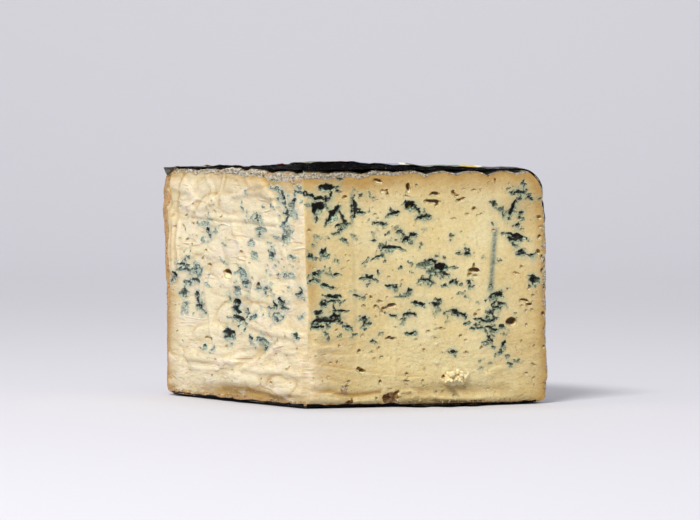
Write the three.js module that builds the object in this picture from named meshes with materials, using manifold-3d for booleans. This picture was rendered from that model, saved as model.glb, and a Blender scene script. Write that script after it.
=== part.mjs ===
// A large wedge cut from a tall, soft blue cheese, standing in what is left of its black foil wrap.
// Two knife cuts meet in an upright nose. The wrap runs over the top, down the heel and back under
// the base, and a round paper label lies on its top sheet. Millimetres, +Z up, the nose toward -Y.

import * as THREE from 'three';
import { ParametricGeometry } from 'three/addons/geometries/ParametricGeometry.js';
import { mergeVertices } from 'three/addons/utils/BufferGeometryUtils.js';
import Module from 'manifold-3d';

// The whole wheel and the wedge cut from it
const WHEEL_RADIUS = 125;
const WEDGE_ANGLE = 107;
const CHEESE_BASE = 1.2;
const RIM_TOP = 115.6;
const NOSE_DISH = 3.8;
const DISH_REACH = 40;
const TOP_CORNER = { right: 11, left: 5 };
const BASE_CORNER = { right: 3.5, left: 4.5 };

// The wrap and the label
const WRAP_GAP = 0.4;
const WRAP_THICKNESS = 0.8;
const WRAP_TIP_RADIUS = 4;
const WRAP_LIFT = 3;
const WRAP_LIFT_AT = 32;
const WRAP_LIFT_REACH = 24;
const WRAP_APRON = 2.5;
const WRAP_TORN_BACK = { right: 1.2, left: 4 };
const CORNER_EAR = 5;
const LABEL_GAP = 0.3;
const LABEL_THICKNESS = 0.3;
const LABEL_RADIUS = 95;

// Where the wheel's axis stands, so that the origin is under the middle of the wedge
const WHEEL_AXIS = new THREE.Vector3(2.2, -63.8, 0);

const HALF_ANGLE = THREE.MathUtils.degToRad(WEDGE_ANGLE / 2);
const RIGHT_ANGLE = Math.PI / 2 - HALF_ANGLE;
const LEFT_ANGLE = Math.PI / 2 + HALF_ANGLE;

const mix = THREE.MathUtils.lerp;
const hump = (x, middle, reach) => Math.exp(-(((x - middle) / reach) ** 2));

// ---- The cheese's form ------------------------------------------------------------------------

// The heel bulges and leans a little: its radius at an angle about the axis and a height
function heelRadius(angle, z) {
  const share = (angle - RIGHT_ANGLE) / (LEFT_ANGLE - RIGHT_ANGLE);
  const right = 0.8 * hump(z, 18, 12) - 2 * THREE.MathUtils.smoothstep(z, 80, 108);
  const left = 3.6 * hump(z, 97, 14) + 1.5 * hump(z, 74, 18);
  return WHEEL_RADIUS + mix(right, left, share) + 0.5 * Math.sin(6 * angle);
}

const cornerAt = (corner, angle) =>
  mix(corner.right, corner.left, (angle - RIGHT_ANGLE) / (LEFT_ANGLE - RIGHT_ANGLE));

// The knife wandered: the nose line leans to one side above and swells to the other at half height
function noseAt(z) {
  const sideways = 1.8 * hump(z, 46, 20) - 2.4 * THREE.MathUtils.smoothstep(z, 78, 112);
  return new THREE.Vector2(sideways, 0);
}

// Each cut face: its direction away from the nose and its outward normal
const FACES = {
  right: {
    along: new THREE.Vector2(Math.cos(RIGHT_ANGLE), Math.sin(RIGHT_ANGLE)),
    outward: new THREE.Vector2(Math.sin(RIGHT_ANGLE), -Math.cos(RIGHT_ANGLE)),
    angle: RIGHT_ANGLE,
  },
  left: {
    along: new THREE.Vector2(Math.cos(LEFT_ANGLE), Math.sin(LEFT_ANGLE)),
    outward: new THREE.Vector2(-Math.sin(LEFT_ANGLE), Math.cos(LEFT_ANGLE)),
    angle: LEFT_ANGLE,
  },
};

// Folds and ridges that the knife smeared into the paste: from and to are along and up on the face
const FOLDS = {
  right: [
    { from: [6, 14], to: [60, 9], reach: 7, height: 0.9 },
    { from: [50, 6.5], to: [112, 7], reach: 3.2, height: -1.3 },
    { from: [48, 3], to: [112, 2.5], reach: 2.6, height: 1 },
    { from: [118, 75], to: [121, 25], reach: 9, height: 0.8 },
    { from: [20, 60], to: [90, 50], reach: 26, height: 0.6 },
  ],
  left: [
    { from: [70, 116], to: [77, 101], reach: 3.4, height: -1.2 },
    { from: [98, 90.5], to: [22, 88.5], reach: 3.2, height: -0.9 },
    { from: [119, 92], to: [116, 64], reach: 3.6, height: 1.3 },
    { from: [60, 102], to: [36, 106], reach: 4, height: 1 },
    { from: [50, 39], to: [6, 34.5], reach: 3.6, height: 1.3 },
    { from: [56, 21], to: [30, 31], reach: 4.4, height: -1.4 },
    { from: [104, 18], to: [10, 15.5], reach: 3, height: -1 },
    { from: [110, 11], to: [10, 11], reach: 5, height: 1.3 },
    { from: [90, 5], to: [30, 5], reach: 3.4, height: -1 },
  ],
};

// Signed height of all the folds of a face at one place on it
function foldHeight(side, along, up) {
  const place = new THREE.Vector2(along, up);
  return FOLDS[side].reduce((sum, fold) => {
    const from = new THREE.Vector2(...fold.from);
    const run = new THREE.Vector2(...fold.to).sub(from);
    const share = THREE.MathUtils.clamp(place.clone().sub(from).dot(run) / run.lengthSq(), 0, 1);
    const away = place.distanceTo(from.addScaledVector(run, share));
    return sum + fold.height * hump(away, 0, fold.reach);
  }, 0);
}

// Wrinkles of the top rind, which end in notches at the cut edges: their place along each face
const NOTCHES = {
  right: [
    { at: 12, depth: 1 }, { at: 29.5, depth: 1.8 }, { at: 46, depth: 0.9 }, { at: 62.5, depth: 2 },
    { at: 78, depth: 1.5 }, { at: 94.5, depth: 2.3 }, { at: 109.5, depth: 1.4 },
  ],
  left: [
    { at: 5, depth: 1.2 }, { at: 27, depth: 1.4 }, { at: 50, depth: 1.5 }, { at: 74, depth: 1 },
    { at: 96, depth: 0.8 },
  ],
};
const NOTCH_HALF_WIDTH = 6.5;
const WRINKLE_LENGTH = 14;

// How far the wrinkles lower the top at a point of the wheel's plan
function wrinkleDepth(x, y) {
  return Object.entries(FACES).reduce((sum, [side, face]) => {
    const along = x * face.along.x + y * face.along.y;
    const inside = Math.max(0, -(x * face.outward.x + y * face.outward.y));
    return NOTCHES[side].reduce((part, notch) => {
      const near = Math.max(0, 1 - Math.abs(along - notch.at) / NOTCH_HALF_WIDTH);
      return part + notch.depth * near ** 1.4 * hump(inside, 0, WRINKLE_LENGTH);
    }, sum);
  }, 0);
}

function topHeight(x, y) {
  return RIM_TOP - NOSE_DISH * hump(Math.hypot(x, y), 0, DISH_REACH) - wrinkleDepth(x, y);
}

// Rows of the upright wall, closer together in the two rounded corners. Wrap and cheese share them.
const BASE_CORNER_ROWS = 3;
const TOP_CORNER_ROWS = 4;
const WALL_ROWS = 18;

// A row of the heel's profile: its height, how far the corner draws it in, and its outward slope
function heelRow(row, angle) {
  const baseCorner = cornerAt(BASE_CORNER, angle);
  const topCorner = cornerAt(TOP_CORNER, angle);
  const low = CHEESE_BASE + baseCorner;
  const high = RIM_TOP - topCorner;
  if (row <= BASE_CORNER_ROWS) {
    const turn = (1 - row / BASE_CORNER_ROWS) * Math.PI / 2;
    return {
      z: low - baseCorner * Math.sin(turn),
      radius: heelRadius(angle, low) - baseCorner * (1 - Math.cos(turn)),
      slope: new THREE.Vector2(Math.cos(turn), -Math.sin(turn)),
    };
  }
  if (row >= BASE_CORNER_ROWS + WALL_ROWS) {
    const turn = (row - BASE_CORNER_ROWS - WALL_ROWS) / TOP_CORNER_ROWS * Math.PI / 2;
    return {
      z: high + topCorner * Math.sin(turn),
      radius: heelRadius(angle, high) - topCorner * (1 - Math.cos(turn)),
      slope: new THREE.Vector2(Math.cos(turn), Math.sin(turn)),
    };
  }
  const z = mix(low, high, (row - BASE_CORNER_ROWS) / WALL_ROWS);
  return { z, radius: heelRadius(angle, z), slope: new THREE.Vector2(1, 0) };
}

const HEEL_ROWS = BASE_CORNER_ROWS + WALL_ROWS + TOP_CORNER_ROWS;

// A point of a cut face, at a share of its length and on a row of the heel that it ends in
function facePoint(side, share, row) {
  const face = FACES[side];
  const rim = heelRow(row, face.angle);
  const nose = noseAt(rim.z);
  const end = new THREE.Vector2(face.along.x, face.along.y).multiplyScalar(rim.radius);
  const place = nose.lerp(end, share);
  const edgeFade = Math.min(1, share * 8) * Math.min(1, (1 - share) * 8);
  place.addScaledVector(face.outward, foldHeight(side, share * rim.radius, rim.z) * edgeFade);
  return new THREE.Vector3(place.x, place.y, rim.z);
}

function heelPoint(angle, row) {
  const { radius, z } = heelRow(row, angle);
  return new THREE.Vector3(radius * Math.cos(angle), radius * Math.sin(angle), z);
}

// The closed outline of a row, from the nose along one face, round the heel and back to the nose
const FACE_COLUMNS = 33;
const HEEL_COLUMNS = 16;
const COLUMNS = 2 * FACE_COLUMNS + HEEL_COLUMNS;

function outlinePoint(column, row) {
  if (column <= FACE_COLUMNS) return facePoint('right', column / FACE_COLUMNS, row);
  if (column >= FACE_COLUMNS + HEEL_COLUMNS) {
    return facePoint('left', (COLUMNS - column) / FACE_COLUMNS, row);
  }
  return heelPoint(mix(RIGHT_ANGLE, LEFT_ANGLE, (column - FACE_COLUMNS) / HEEL_COLUMNS), row);
}

// Rings that close the base and the top, as shares of the way in to a point under the middle
const MIDDLE = new THREE.Vector2(0, 0.6 * WHEEL_RADIUS);
const BASE_RINGS = [1, 0.3, 0.05];
const TOP_RINGS = [0.05, 0.11, 0.19, 0.32, 0.52, 0.76, 1];
const STACKS = BASE_RINGS.length + HEEL_ROWS + TOP_RINGS.length;

function cheesePoint(u, v, target) {
  const column = Math.round(u * COLUMNS) % COLUMNS;
  const stack = Math.round(v * STACKS);
  const row = THREE.MathUtils.clamp(stack - BASE_RINGS.length, 0, HEEL_ROWS);
  target.copy(outlinePoint(column, row));
  const inward = stack < BASE_RINGS.length
    ? BASE_RINGS[stack]
    : TOP_RINGS[stack - BASE_RINGS.length - HEEL_ROWS - 1] ?? 0;
  target.x = mix(target.x, MIDDLE.x, inward);
  target.y = mix(target.y, MIDDLE.y, inward);
  // The top's dish and wrinkles lower the upper rows of the wall with it
  const raised = (target.z - CHEESE_BASE) / (RIM_TOP - CHEESE_BASE);
  target.z -= (RIM_TOP - topHeight(target.x, target.y)) * raised ** 8;
}

// ---- Pockets ----------------------------------------------------------------------------------

// The largest openings that the knife laid bare: place along and up on the face, length, height
// and turn in degrees
const POCKETS = {
  right: [
    { at: [12, 107.5], size: [8, 3.5], turn: 0 },
    { at: [6.7, 97], size: [5, 6.5], turn: 0 },
    { at: [15, 94.3], size: [9, 3.2], turn: 42 },
    { at: [25.5, 98.5], size: [1.8, 12], turn: 0 },
    { at: [55, 98.3], size: [4.6, 4.2], turn: 0 },
    { at: [60, 93], size: [6, 2.3], turn: 0 },
    { at: [52.5, 82.5], size: [5, 2.6], turn: 20 },
    { at: [43.5, 77.8], size: [9, 1.9], turn: -8 },
    { at: [69.5, 67.5], size: [6.5, 5.4], turn: 0 },
    { at: [62.5, 69.5], size: [7, 3.4], turn: -12 },
    { at: [63, 61.8], size: [7, 1.9], turn: 0 },
    { at: [87, 66.3], size: [7, 2.4], turn: -8 },
    { at: [107.5, 95.5], size: [7.6, 3], turn: 65 },
    { at: [107.5, 82.5], size: [10, 3.2], turn: -10 },
    { at: [111.5, 105], size: [8, 1.9], turn: 0 },
    { at: [119, 60.8], size: [3.2, 4.8], turn: 0 },
    { at: [106.5, 40.8], size: [6.2, 4.2], turn: -15 },
    { at: [9, 42.5], size: [12.5, 2.2], turn: 0 },
    { at: [13.5, 53.5], size: [8, 3], turn: -5 },
    { at: [57.5, 50.5], size: [5.2, 2], turn: 0 },
    { at: [29, 42], size: [3, 5], turn: 0 },
    { at: [43, 49.6], size: [5.6, 1.9], turn: 0 },
    { at: [98.5, 49], size: [6, 3.6], turn: 0 },
    { at: [96, 37.8], size: [6, 3.8], turn: 0 },
    { at: [93.5, 30], size: [8, 2.1], turn: 10 },
    { at: [28, 18.2], size: [3.4, 2.9], turn: -30 },
    { at: [23.7, 2.5], size: [3.6, 5.4], turn: 0 },
    { at: [44, 2.5], size: [7.4, 6.4], turn: 0 },
  ],
  left: [
    { at: [69.5, 64], size: [9.5, 4.6], turn: 10 },
    { at: [60, 48.8], size: [5.4, 4.6], turn: 0 },
    { at: [57, 42], size: [12.5, 4], turn: 5 },
    { at: [67.5, 33.5], size: [7.6, 4.8], turn: 0 },
    { at: [94.5, 48.5], size: [3, 8.5], turn: 0 },
    { at: [5.5, 57], size: [3, 4.8], turn: 0 },
    { at: [40, 92], size: [3.4, 3.2], turn: 0 },
    { at: [15, 94], size: [2, 13], turn: 0 },
    { at: [116, 61.5], size: [4.4, 3.2], turn: 40 },
    { at: [108.5, 53], size: [5.2, 4.4], turn: 20 },
    { at: [83.5, 82.5], size: [2.8, 3.6], turn: 0 },
    { at: [20.5, 50.5], size: [4.4, 4], turn: 0 },
    { at: [38, 86], size: [8.4, 2.6], turn: 12 },
  ],
};
const POCKET_UNEVENNESS = 0.28;

// A closed, lumpy hollow, half of it inside the face that it opens
function pocket(side, { at, size, turn }) {
  const geometry = new THREE.IcosahedronGeometry(1, 1);
  geometry.deleteAttribute('normal');
  geometry.deleteAttribute('uv');
  const lumpy = mergeVertices(geometry, 1e-4);
  const place = new THREE.Vector3();
  for (let i = 0; i < lumpy.attributes.position.count; i++) {
    place.fromBufferAttribute(lumpy.attributes.position, i);
    const lumps = Math.sin(5 * place.x + at[0]) + Math.sin(4 * place.y + at[1]);
    place.multiplyScalar(1 + POCKET_UNEVENNESS * 0.5 * lumps);
    lumpy.attributes.position.setXYZ(i, place.x, place.y, place.z);
  }
  const depth = Math.min(3, 0.6 + 0.5 * Math.min(...size));
  lumpy.scale(size[0] / 2, size[1] / 2, depth);
  lumpy.rotateZ(THREE.MathUtils.degToRad(turn));
  const face = FACES[side];
  const up = new THREE.Vector3(0, 0, 1);
  const outward = new THREE.Vector3(face.outward.x, face.outward.y, 0);
  const across = new THREE.Vector3().crossVectors(up, outward);
  lumpy.applyMatrix4(new THREE.Matrix4().makeBasis(across, up, outward));
  const nose = noseAt(at[1]);
  const reach = heelRadius(face.angle, at[1]);
  const end = new THREE.Vector2(face.along.x, face.along.y).multiplyScalar(reach);
  const middle = nose.lerp(end, at[0] / reach);
  return lumpy.translate(middle.x, middle.y, at[1]);
}

// ---- Solids and cuts --------------------------------------------------------------------------

const wasm = await Module();
wasm.setup();

// A closed solid from a geometry whose shared points are merged and whose flat slivers are dropped
function solidFrom(geometry) {
  for (const name of ['normal', 'uv']) {
    if (geometry.attributes[name]) geometry.deleteAttribute(name);
  }
  const merged = mergeVertices(geometry, 1e-3);
  const corners = Array.from(merged.index.array);
  const triangles = [];
  for (let i = 0; i < corners.length; i += 3) {
    const [a, b, c] = corners.slice(i, i + 3);
    if (a !== b && b !== c && c !== a) triangles.push(a, b, c);
  }
  return new wasm.Manifold(new wasm.Mesh({
    numProp: 3,
    vertProperties: new Float32Array(merged.attributes.position.array),
    triVerts: new Uint32Array(triangles),
  }));
}

function geometryFrom(solid) {
  const mesh = solid.getMesh();
  const geometry = new THREE.BufferGeometry();
  geometry.setAttribute('position', new THREE.BufferAttribute(mesh.vertProperties, 3));
  geometry.setIndex(new THREE.BufferAttribute(mesh.triVerts, 1));
  geometry.computeVertexNormals();
  return geometry;
}

function cheeseGeometry() {
  let solid = solidFrom(new ParametricGeometry(cheesePoint, COLUMNS, STACKS));
  for (const [side, pockets] of Object.entries(POCKETS)) {
    for (const opening of pockets) solid = solid.subtract(solidFrom(pocket(side, opening)));
  }
  return geometryFrom(solid);
}

// ---- The wrap and its label -------------------------------------------------------------------

const WRAP_COLUMNS = 18;
const TOP_SHEET_ROWS = 12;
const BASE_SHEET_ROWS = 4;
const WRAP_ROWS = TOP_SHEET_ROWS + HEEL_ROWS + BASE_SHEET_ROWS;

// The top sheet stands off the rind near the nose, in a low billow that fades toward the heel
const billow = (radius, share) =>
  WRAP_LIFT * hump(radius, WRAP_LIFT_AT, WRAP_LIFT_REACH) * (0.75 + 0.25 * Math.sin(9 * share));

// A point of the wrap: share across the wedge, row from the top sheet's tip over the heel to the
// base sheet's tip, and distance outward from the wrap's inner side
function wrapPoint(share, row, out) {
  const heelRowAt = HEEL_ROWS - (row - TOP_SHEET_ROWS);
  const onHeel = heelRowAt >= 0 && heelRowAt <= HEEL_ROWS;
  const torn = onHeel ? Math.sin(Math.PI * heelRowAt / HEEL_ROWS) : 0;
  const from = RIGHT_ANGLE + torn * WRAP_TORN_BACK.right / WHEEL_RADIUS;
  const to = LEFT_ANGLE - torn * WRAP_TORN_BACK.left / WHEEL_RADIUS;
  const angle = mix(from, to, share);
  const radial = new THREE.Vector2(Math.cos(angle), Math.sin(angle));
  const edge = heelRow(THREE.MathUtils.clamp(heelRowAt, 0, HEEL_ROWS), angle);
  const stand = WRAP_GAP + out;
  if (onHeel) {
    radial.multiplyScalar(edge.radius + stand * edge.slope.x);
    // An ear of wrap sticks out where the left cut passes the top corner
    const ear = CORNER_EAR * THREE.MathUtils.smoothstep(share, 0.9, 1)
      * hump(heelRowAt, HEEL_ROWS - 2, 1.4);
    return new THREE.Vector3(radial.x - ear, radial.y, edge.z + stand * edge.slope.y);
  }
  if (heelRowAt > HEEL_ROWS) {
    const radius = mix(WRAP_TIP_RADIUS, edge.radius, row / TOP_SHEET_ROWS);
    radial.multiplyScalar(radius);
    return new THREE.Vector3(radial.x, radial.y, RIM_TOP + stand + billow(radius, share));
  }
  const radius = mix(edge.radius, WRAP_TIP_RADIUS, -heelRowAt / BASE_SHEET_ROWS);
  const apron = WRAP_APRON * Math.min(1, (edge.radius - radius) / 30);
  radial.multiplyScalar(radius);
  return new THREE.Vector3(radial.x, radial.y - apron, CHEESE_BASE - stand);
}

// A thin closed sheet: a box's points, laid at their share, row and distance outward on the wrap
function sheet(rows, inner, thickness) {
  const geometry = new THREE.BoxGeometry(1, 1, 1, WRAP_COLUMNS, rows, 1);
  const corner = geometry.attributes.position;
  for (let i = 0; i < corner.count; i++) {
    const share = Math.round((0.5 - corner.getX(i)) * WRAP_COLUMNS) / WRAP_COLUMNS;
    const row = Math.round((corner.getY(i) + 0.5) * rows);
    const out = inner + (corner.getZ(i) + 0.5) * thickness;
    const place = wrapPoint(share, row, out);
    corner.setXYZ(i, place.x, place.y, place.z);
  }
  return geometryFrom(solidFrom(geometry));
}

const LABEL_ROWS = Math.round(
  TOP_SHEET_ROWS * (LABEL_RADIUS - WRAP_TIP_RADIUS) / (WHEEL_RADIUS - WRAP_TIP_RADIUS),
);

// ---- The wedge --------------------------------------------------------------------------------

const paste = new THREE.MeshStandardMaterial({ color: 0xe6d7ae, roughness: 0.55 });
const blackFoil = new THREE.MeshStandardMaterial({ color: 0x171318, roughness: 0.3, metalness: 0.4 });
const printedPaper = new THREE.MeshStandardMaterial({ color: 0x8b8f77, roughness: 0.6 });

const wedge = new THREE.Group();
wedge.position.copy(WHEEL_AXIS);

const cheese = new THREE.Mesh(cheeseGeometry(), paste);
cheese.name = 'cheese';
wedge.add(cheese);

const wrap = new THREE.Mesh(sheet(WRAP_ROWS, 0, WRAP_THICKNESS), blackFoil);
wrap.name = 'wrap';
wedge.add(wrap);

const label = new THREE.Mesh(
  sheet(LABEL_ROWS, WRAP_THICKNESS + LABEL_GAP, LABEL_THICKNESS),
  printedPaper,
);
label.name = 'label';
wedge.add(label);

export default wedge;
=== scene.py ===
# A large wedge of soft blue cheese, cut from a tall wheel with two strokes that meet in an upright nose.
# It stands in what is left of its black foil, under a round paper label. Sizes are millimetres, taken
# along a cut face from the nose and up from the base, until the meshes are laid in metres.
import collections
import functools
import itertools
import math

import bmesh
import bpy
import numpy as np
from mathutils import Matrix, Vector


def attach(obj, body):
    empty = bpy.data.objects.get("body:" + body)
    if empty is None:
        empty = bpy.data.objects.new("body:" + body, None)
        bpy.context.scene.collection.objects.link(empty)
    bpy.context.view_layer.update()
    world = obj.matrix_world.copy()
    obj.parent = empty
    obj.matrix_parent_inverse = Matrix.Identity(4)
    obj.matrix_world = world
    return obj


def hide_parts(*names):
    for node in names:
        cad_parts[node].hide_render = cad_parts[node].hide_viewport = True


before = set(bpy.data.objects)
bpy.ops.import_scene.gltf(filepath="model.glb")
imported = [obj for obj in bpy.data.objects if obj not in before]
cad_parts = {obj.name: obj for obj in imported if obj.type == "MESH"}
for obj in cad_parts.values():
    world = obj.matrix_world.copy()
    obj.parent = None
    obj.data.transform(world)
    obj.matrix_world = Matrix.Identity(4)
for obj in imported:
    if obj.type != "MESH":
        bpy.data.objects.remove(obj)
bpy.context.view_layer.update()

# ---- The cheese: form -------------------------------------------------------------------------
# One piece of soft, creamy paste inside a thin mouldy rind. The wheel was pierced with needles, so
# blue mould grows in its openings. The knife laid those open on the right face and smeared the left.
WHEEL_RADIUS = 125
CHEESE_BASE = 1.2
RIM_TOP = 115.6
WHEEL_AXIS = np.array([2.2, -63.8, 0])
CUT_ANGLE = {"right": math.radians(36.5), "left": math.radians(143.5)}
TOP_CORNER = {"right": 11, "left": 5}
TOP_CORNER_REACH = {"right": 11, "left": 8.5}
BASE_CORNER = {"right": 3.5, "left": 4.5}
SIDES = ("right", "left")
ALONG = {side: np.array([math.cos(CUT_ANGLE[side]), math.sin(CUT_ANGLE[side])]) for side in SIDES}
OUTWARD = {"right": np.array([ALONG["right"][1], -ALONG["right"][0]]),
           "left": np.array([-ALONG["left"][1], ALONG["left"][0]])}


def mix(a, b, share):
    return a + (b - a) * share


def step(x, low, high):
    t = np.clip((x - low) / (high - low), 0, 1)
    return t * t * (3 - 2 * t)


def hump(x, middle, reach):
    return np.exp(-((x - middle) / reach) ** 2)


def lumps(x, y, z, size, seed):
    """Smooth random heights from -1 to 1 at places in millimetres, with lumps of about that size."""
    places = np.broadcast_arrays(x, y, z)
    cells = [np.floor(p / size).astype(np.int64) for p in places]
    parts = [p / size - c for p, c in zip(places, cells)]
    parts = [t * t * (3 - 2 * t) for t in parts]
    total = 0
    for corner in itertools.product((0, 1), repeat=3):
        mixed = seed * 2654435761
        weight = 1
        for cell, part, high, prime in zip(cells, parts, corner, (73856093, 19349663, 83492791)):
            mixed = mixed ^ ((cell + high) * prime)
            weight = weight * (part if high else 1 - part)
        mixed = (mixed & 0xFFFFFFFF) * 1274126177 & 0xFFFFFFFF
        mixed = (mixed ^ (mixed >> 15)) * 2246822519 & 0xFFFFFFFF
        total = total + weight * (((mixed >> 9) & 0xFFFF) / 32767.5 - 1)
    return total


def rim_share(angle):
    return (angle - CUT_ANGLE["right"]) / (CUT_ANGLE["left"] - CUT_ANGLE["right"])


def heel_radius(angle, z):
    """The bulging, slightly leaning heel: its radius at an angle about the wheel's axis and a height."""
    share = rim_share(angle)
    top = mix(TOP_CORNER["right"], TOP_CORNER["left"], share)
    low = mix(BASE_CORNER["right"], BASE_CORNER["left"], share)
    at = np.clip(z, CHEESE_BASE + low, RIM_TOP - top)
    right = 0.8 * hump(at, 18, 12) - 2 * step(at, 80, 108)
    left = (2.7 * hump(at, 97, 14) + 1.2 * hump(at, 95.5, 3.5) + 0.7 * hump(at, 105, 2.5)
            + 1.5 * hump(at, 74, 18))
    radius = WHEEL_RADIUS + mix(right, left, share) + 0.5 * np.sin(6 * angle)
    over = np.clip((z - RIM_TOP + top) / top, 0, 1)
    under = np.clip((CHEESE_BASE + low - z) / low, 0, 1)
    reach = mix(TOP_CORNER_REACH["right"], TOP_CORNER_REACH["left"], share)
    return radius - reach * (1 - np.sqrt(1 - over ** 2)) - low * (1 - np.sqrt(1 - under ** 2))


def crust(angle, z):
    """The rind is lumpy round the heel, most at the cut rims where bits broke away."""
    reach = WHEEL_RADIUS * angle
    return (0.4 * lumps(reach, 0, z, 7, 31)
            + 0.35 * lumps(reach, 0, z, 2.6, 32) * np.minimum(1, (z - CHEESE_BASE) / 4))


def nose_sideways(z):
    return 1.8 * hump(z, 46, 20) - 1.3 * step(z, 84, 112)


# Wrinkles of the top rind end in notches at the cut edges: place along the face and depth
NOTCHES = {"right": [(12, 1), (29.5, 1.8), (46, 0.9), (62.5, 2), (78, 1.5), (94.5, 2.3), (109.5, 1.4)],
           "left": [(5, 1.2), (27, 1.4), (50, 1.5), (74, 1), (96, 0.8)]}
NOTCH_HALF_WIDTH = 6.5


def notch_depth(side, along):
    return sum(depth * np.maximum(0, 1 - np.abs(along - at) / NOTCH_HALF_WIDTH) ** 1.4
               for at, depth in NOTCHES[side])


def paste_top(side, along):
    """Height of the paste's upper edge, which sinks toward the nose."""
    sag = 1.2 * hump(along, 16, 30) if side == "left" else 0.6 * hump(along, 55, 25)
    sunk = 0.35 * step(along, 50, 90) + 3.8 * hump(along, 0, 40) + sag
    return RIM_TOP - sunk - notch_depth(side, along)


# The rind seen edge-on above the paste: its height at places along each face
RIND_BAND = {"right": ([0, 20, 40, 64, 80, 125], [4.2, 3, 2, 1.1, 0.5, 0.3]),
             "left": ([0, 10, 30, 60, 90, 130], [4.2, 5, 3.4, 2, 0.8, 0.4])}

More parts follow.
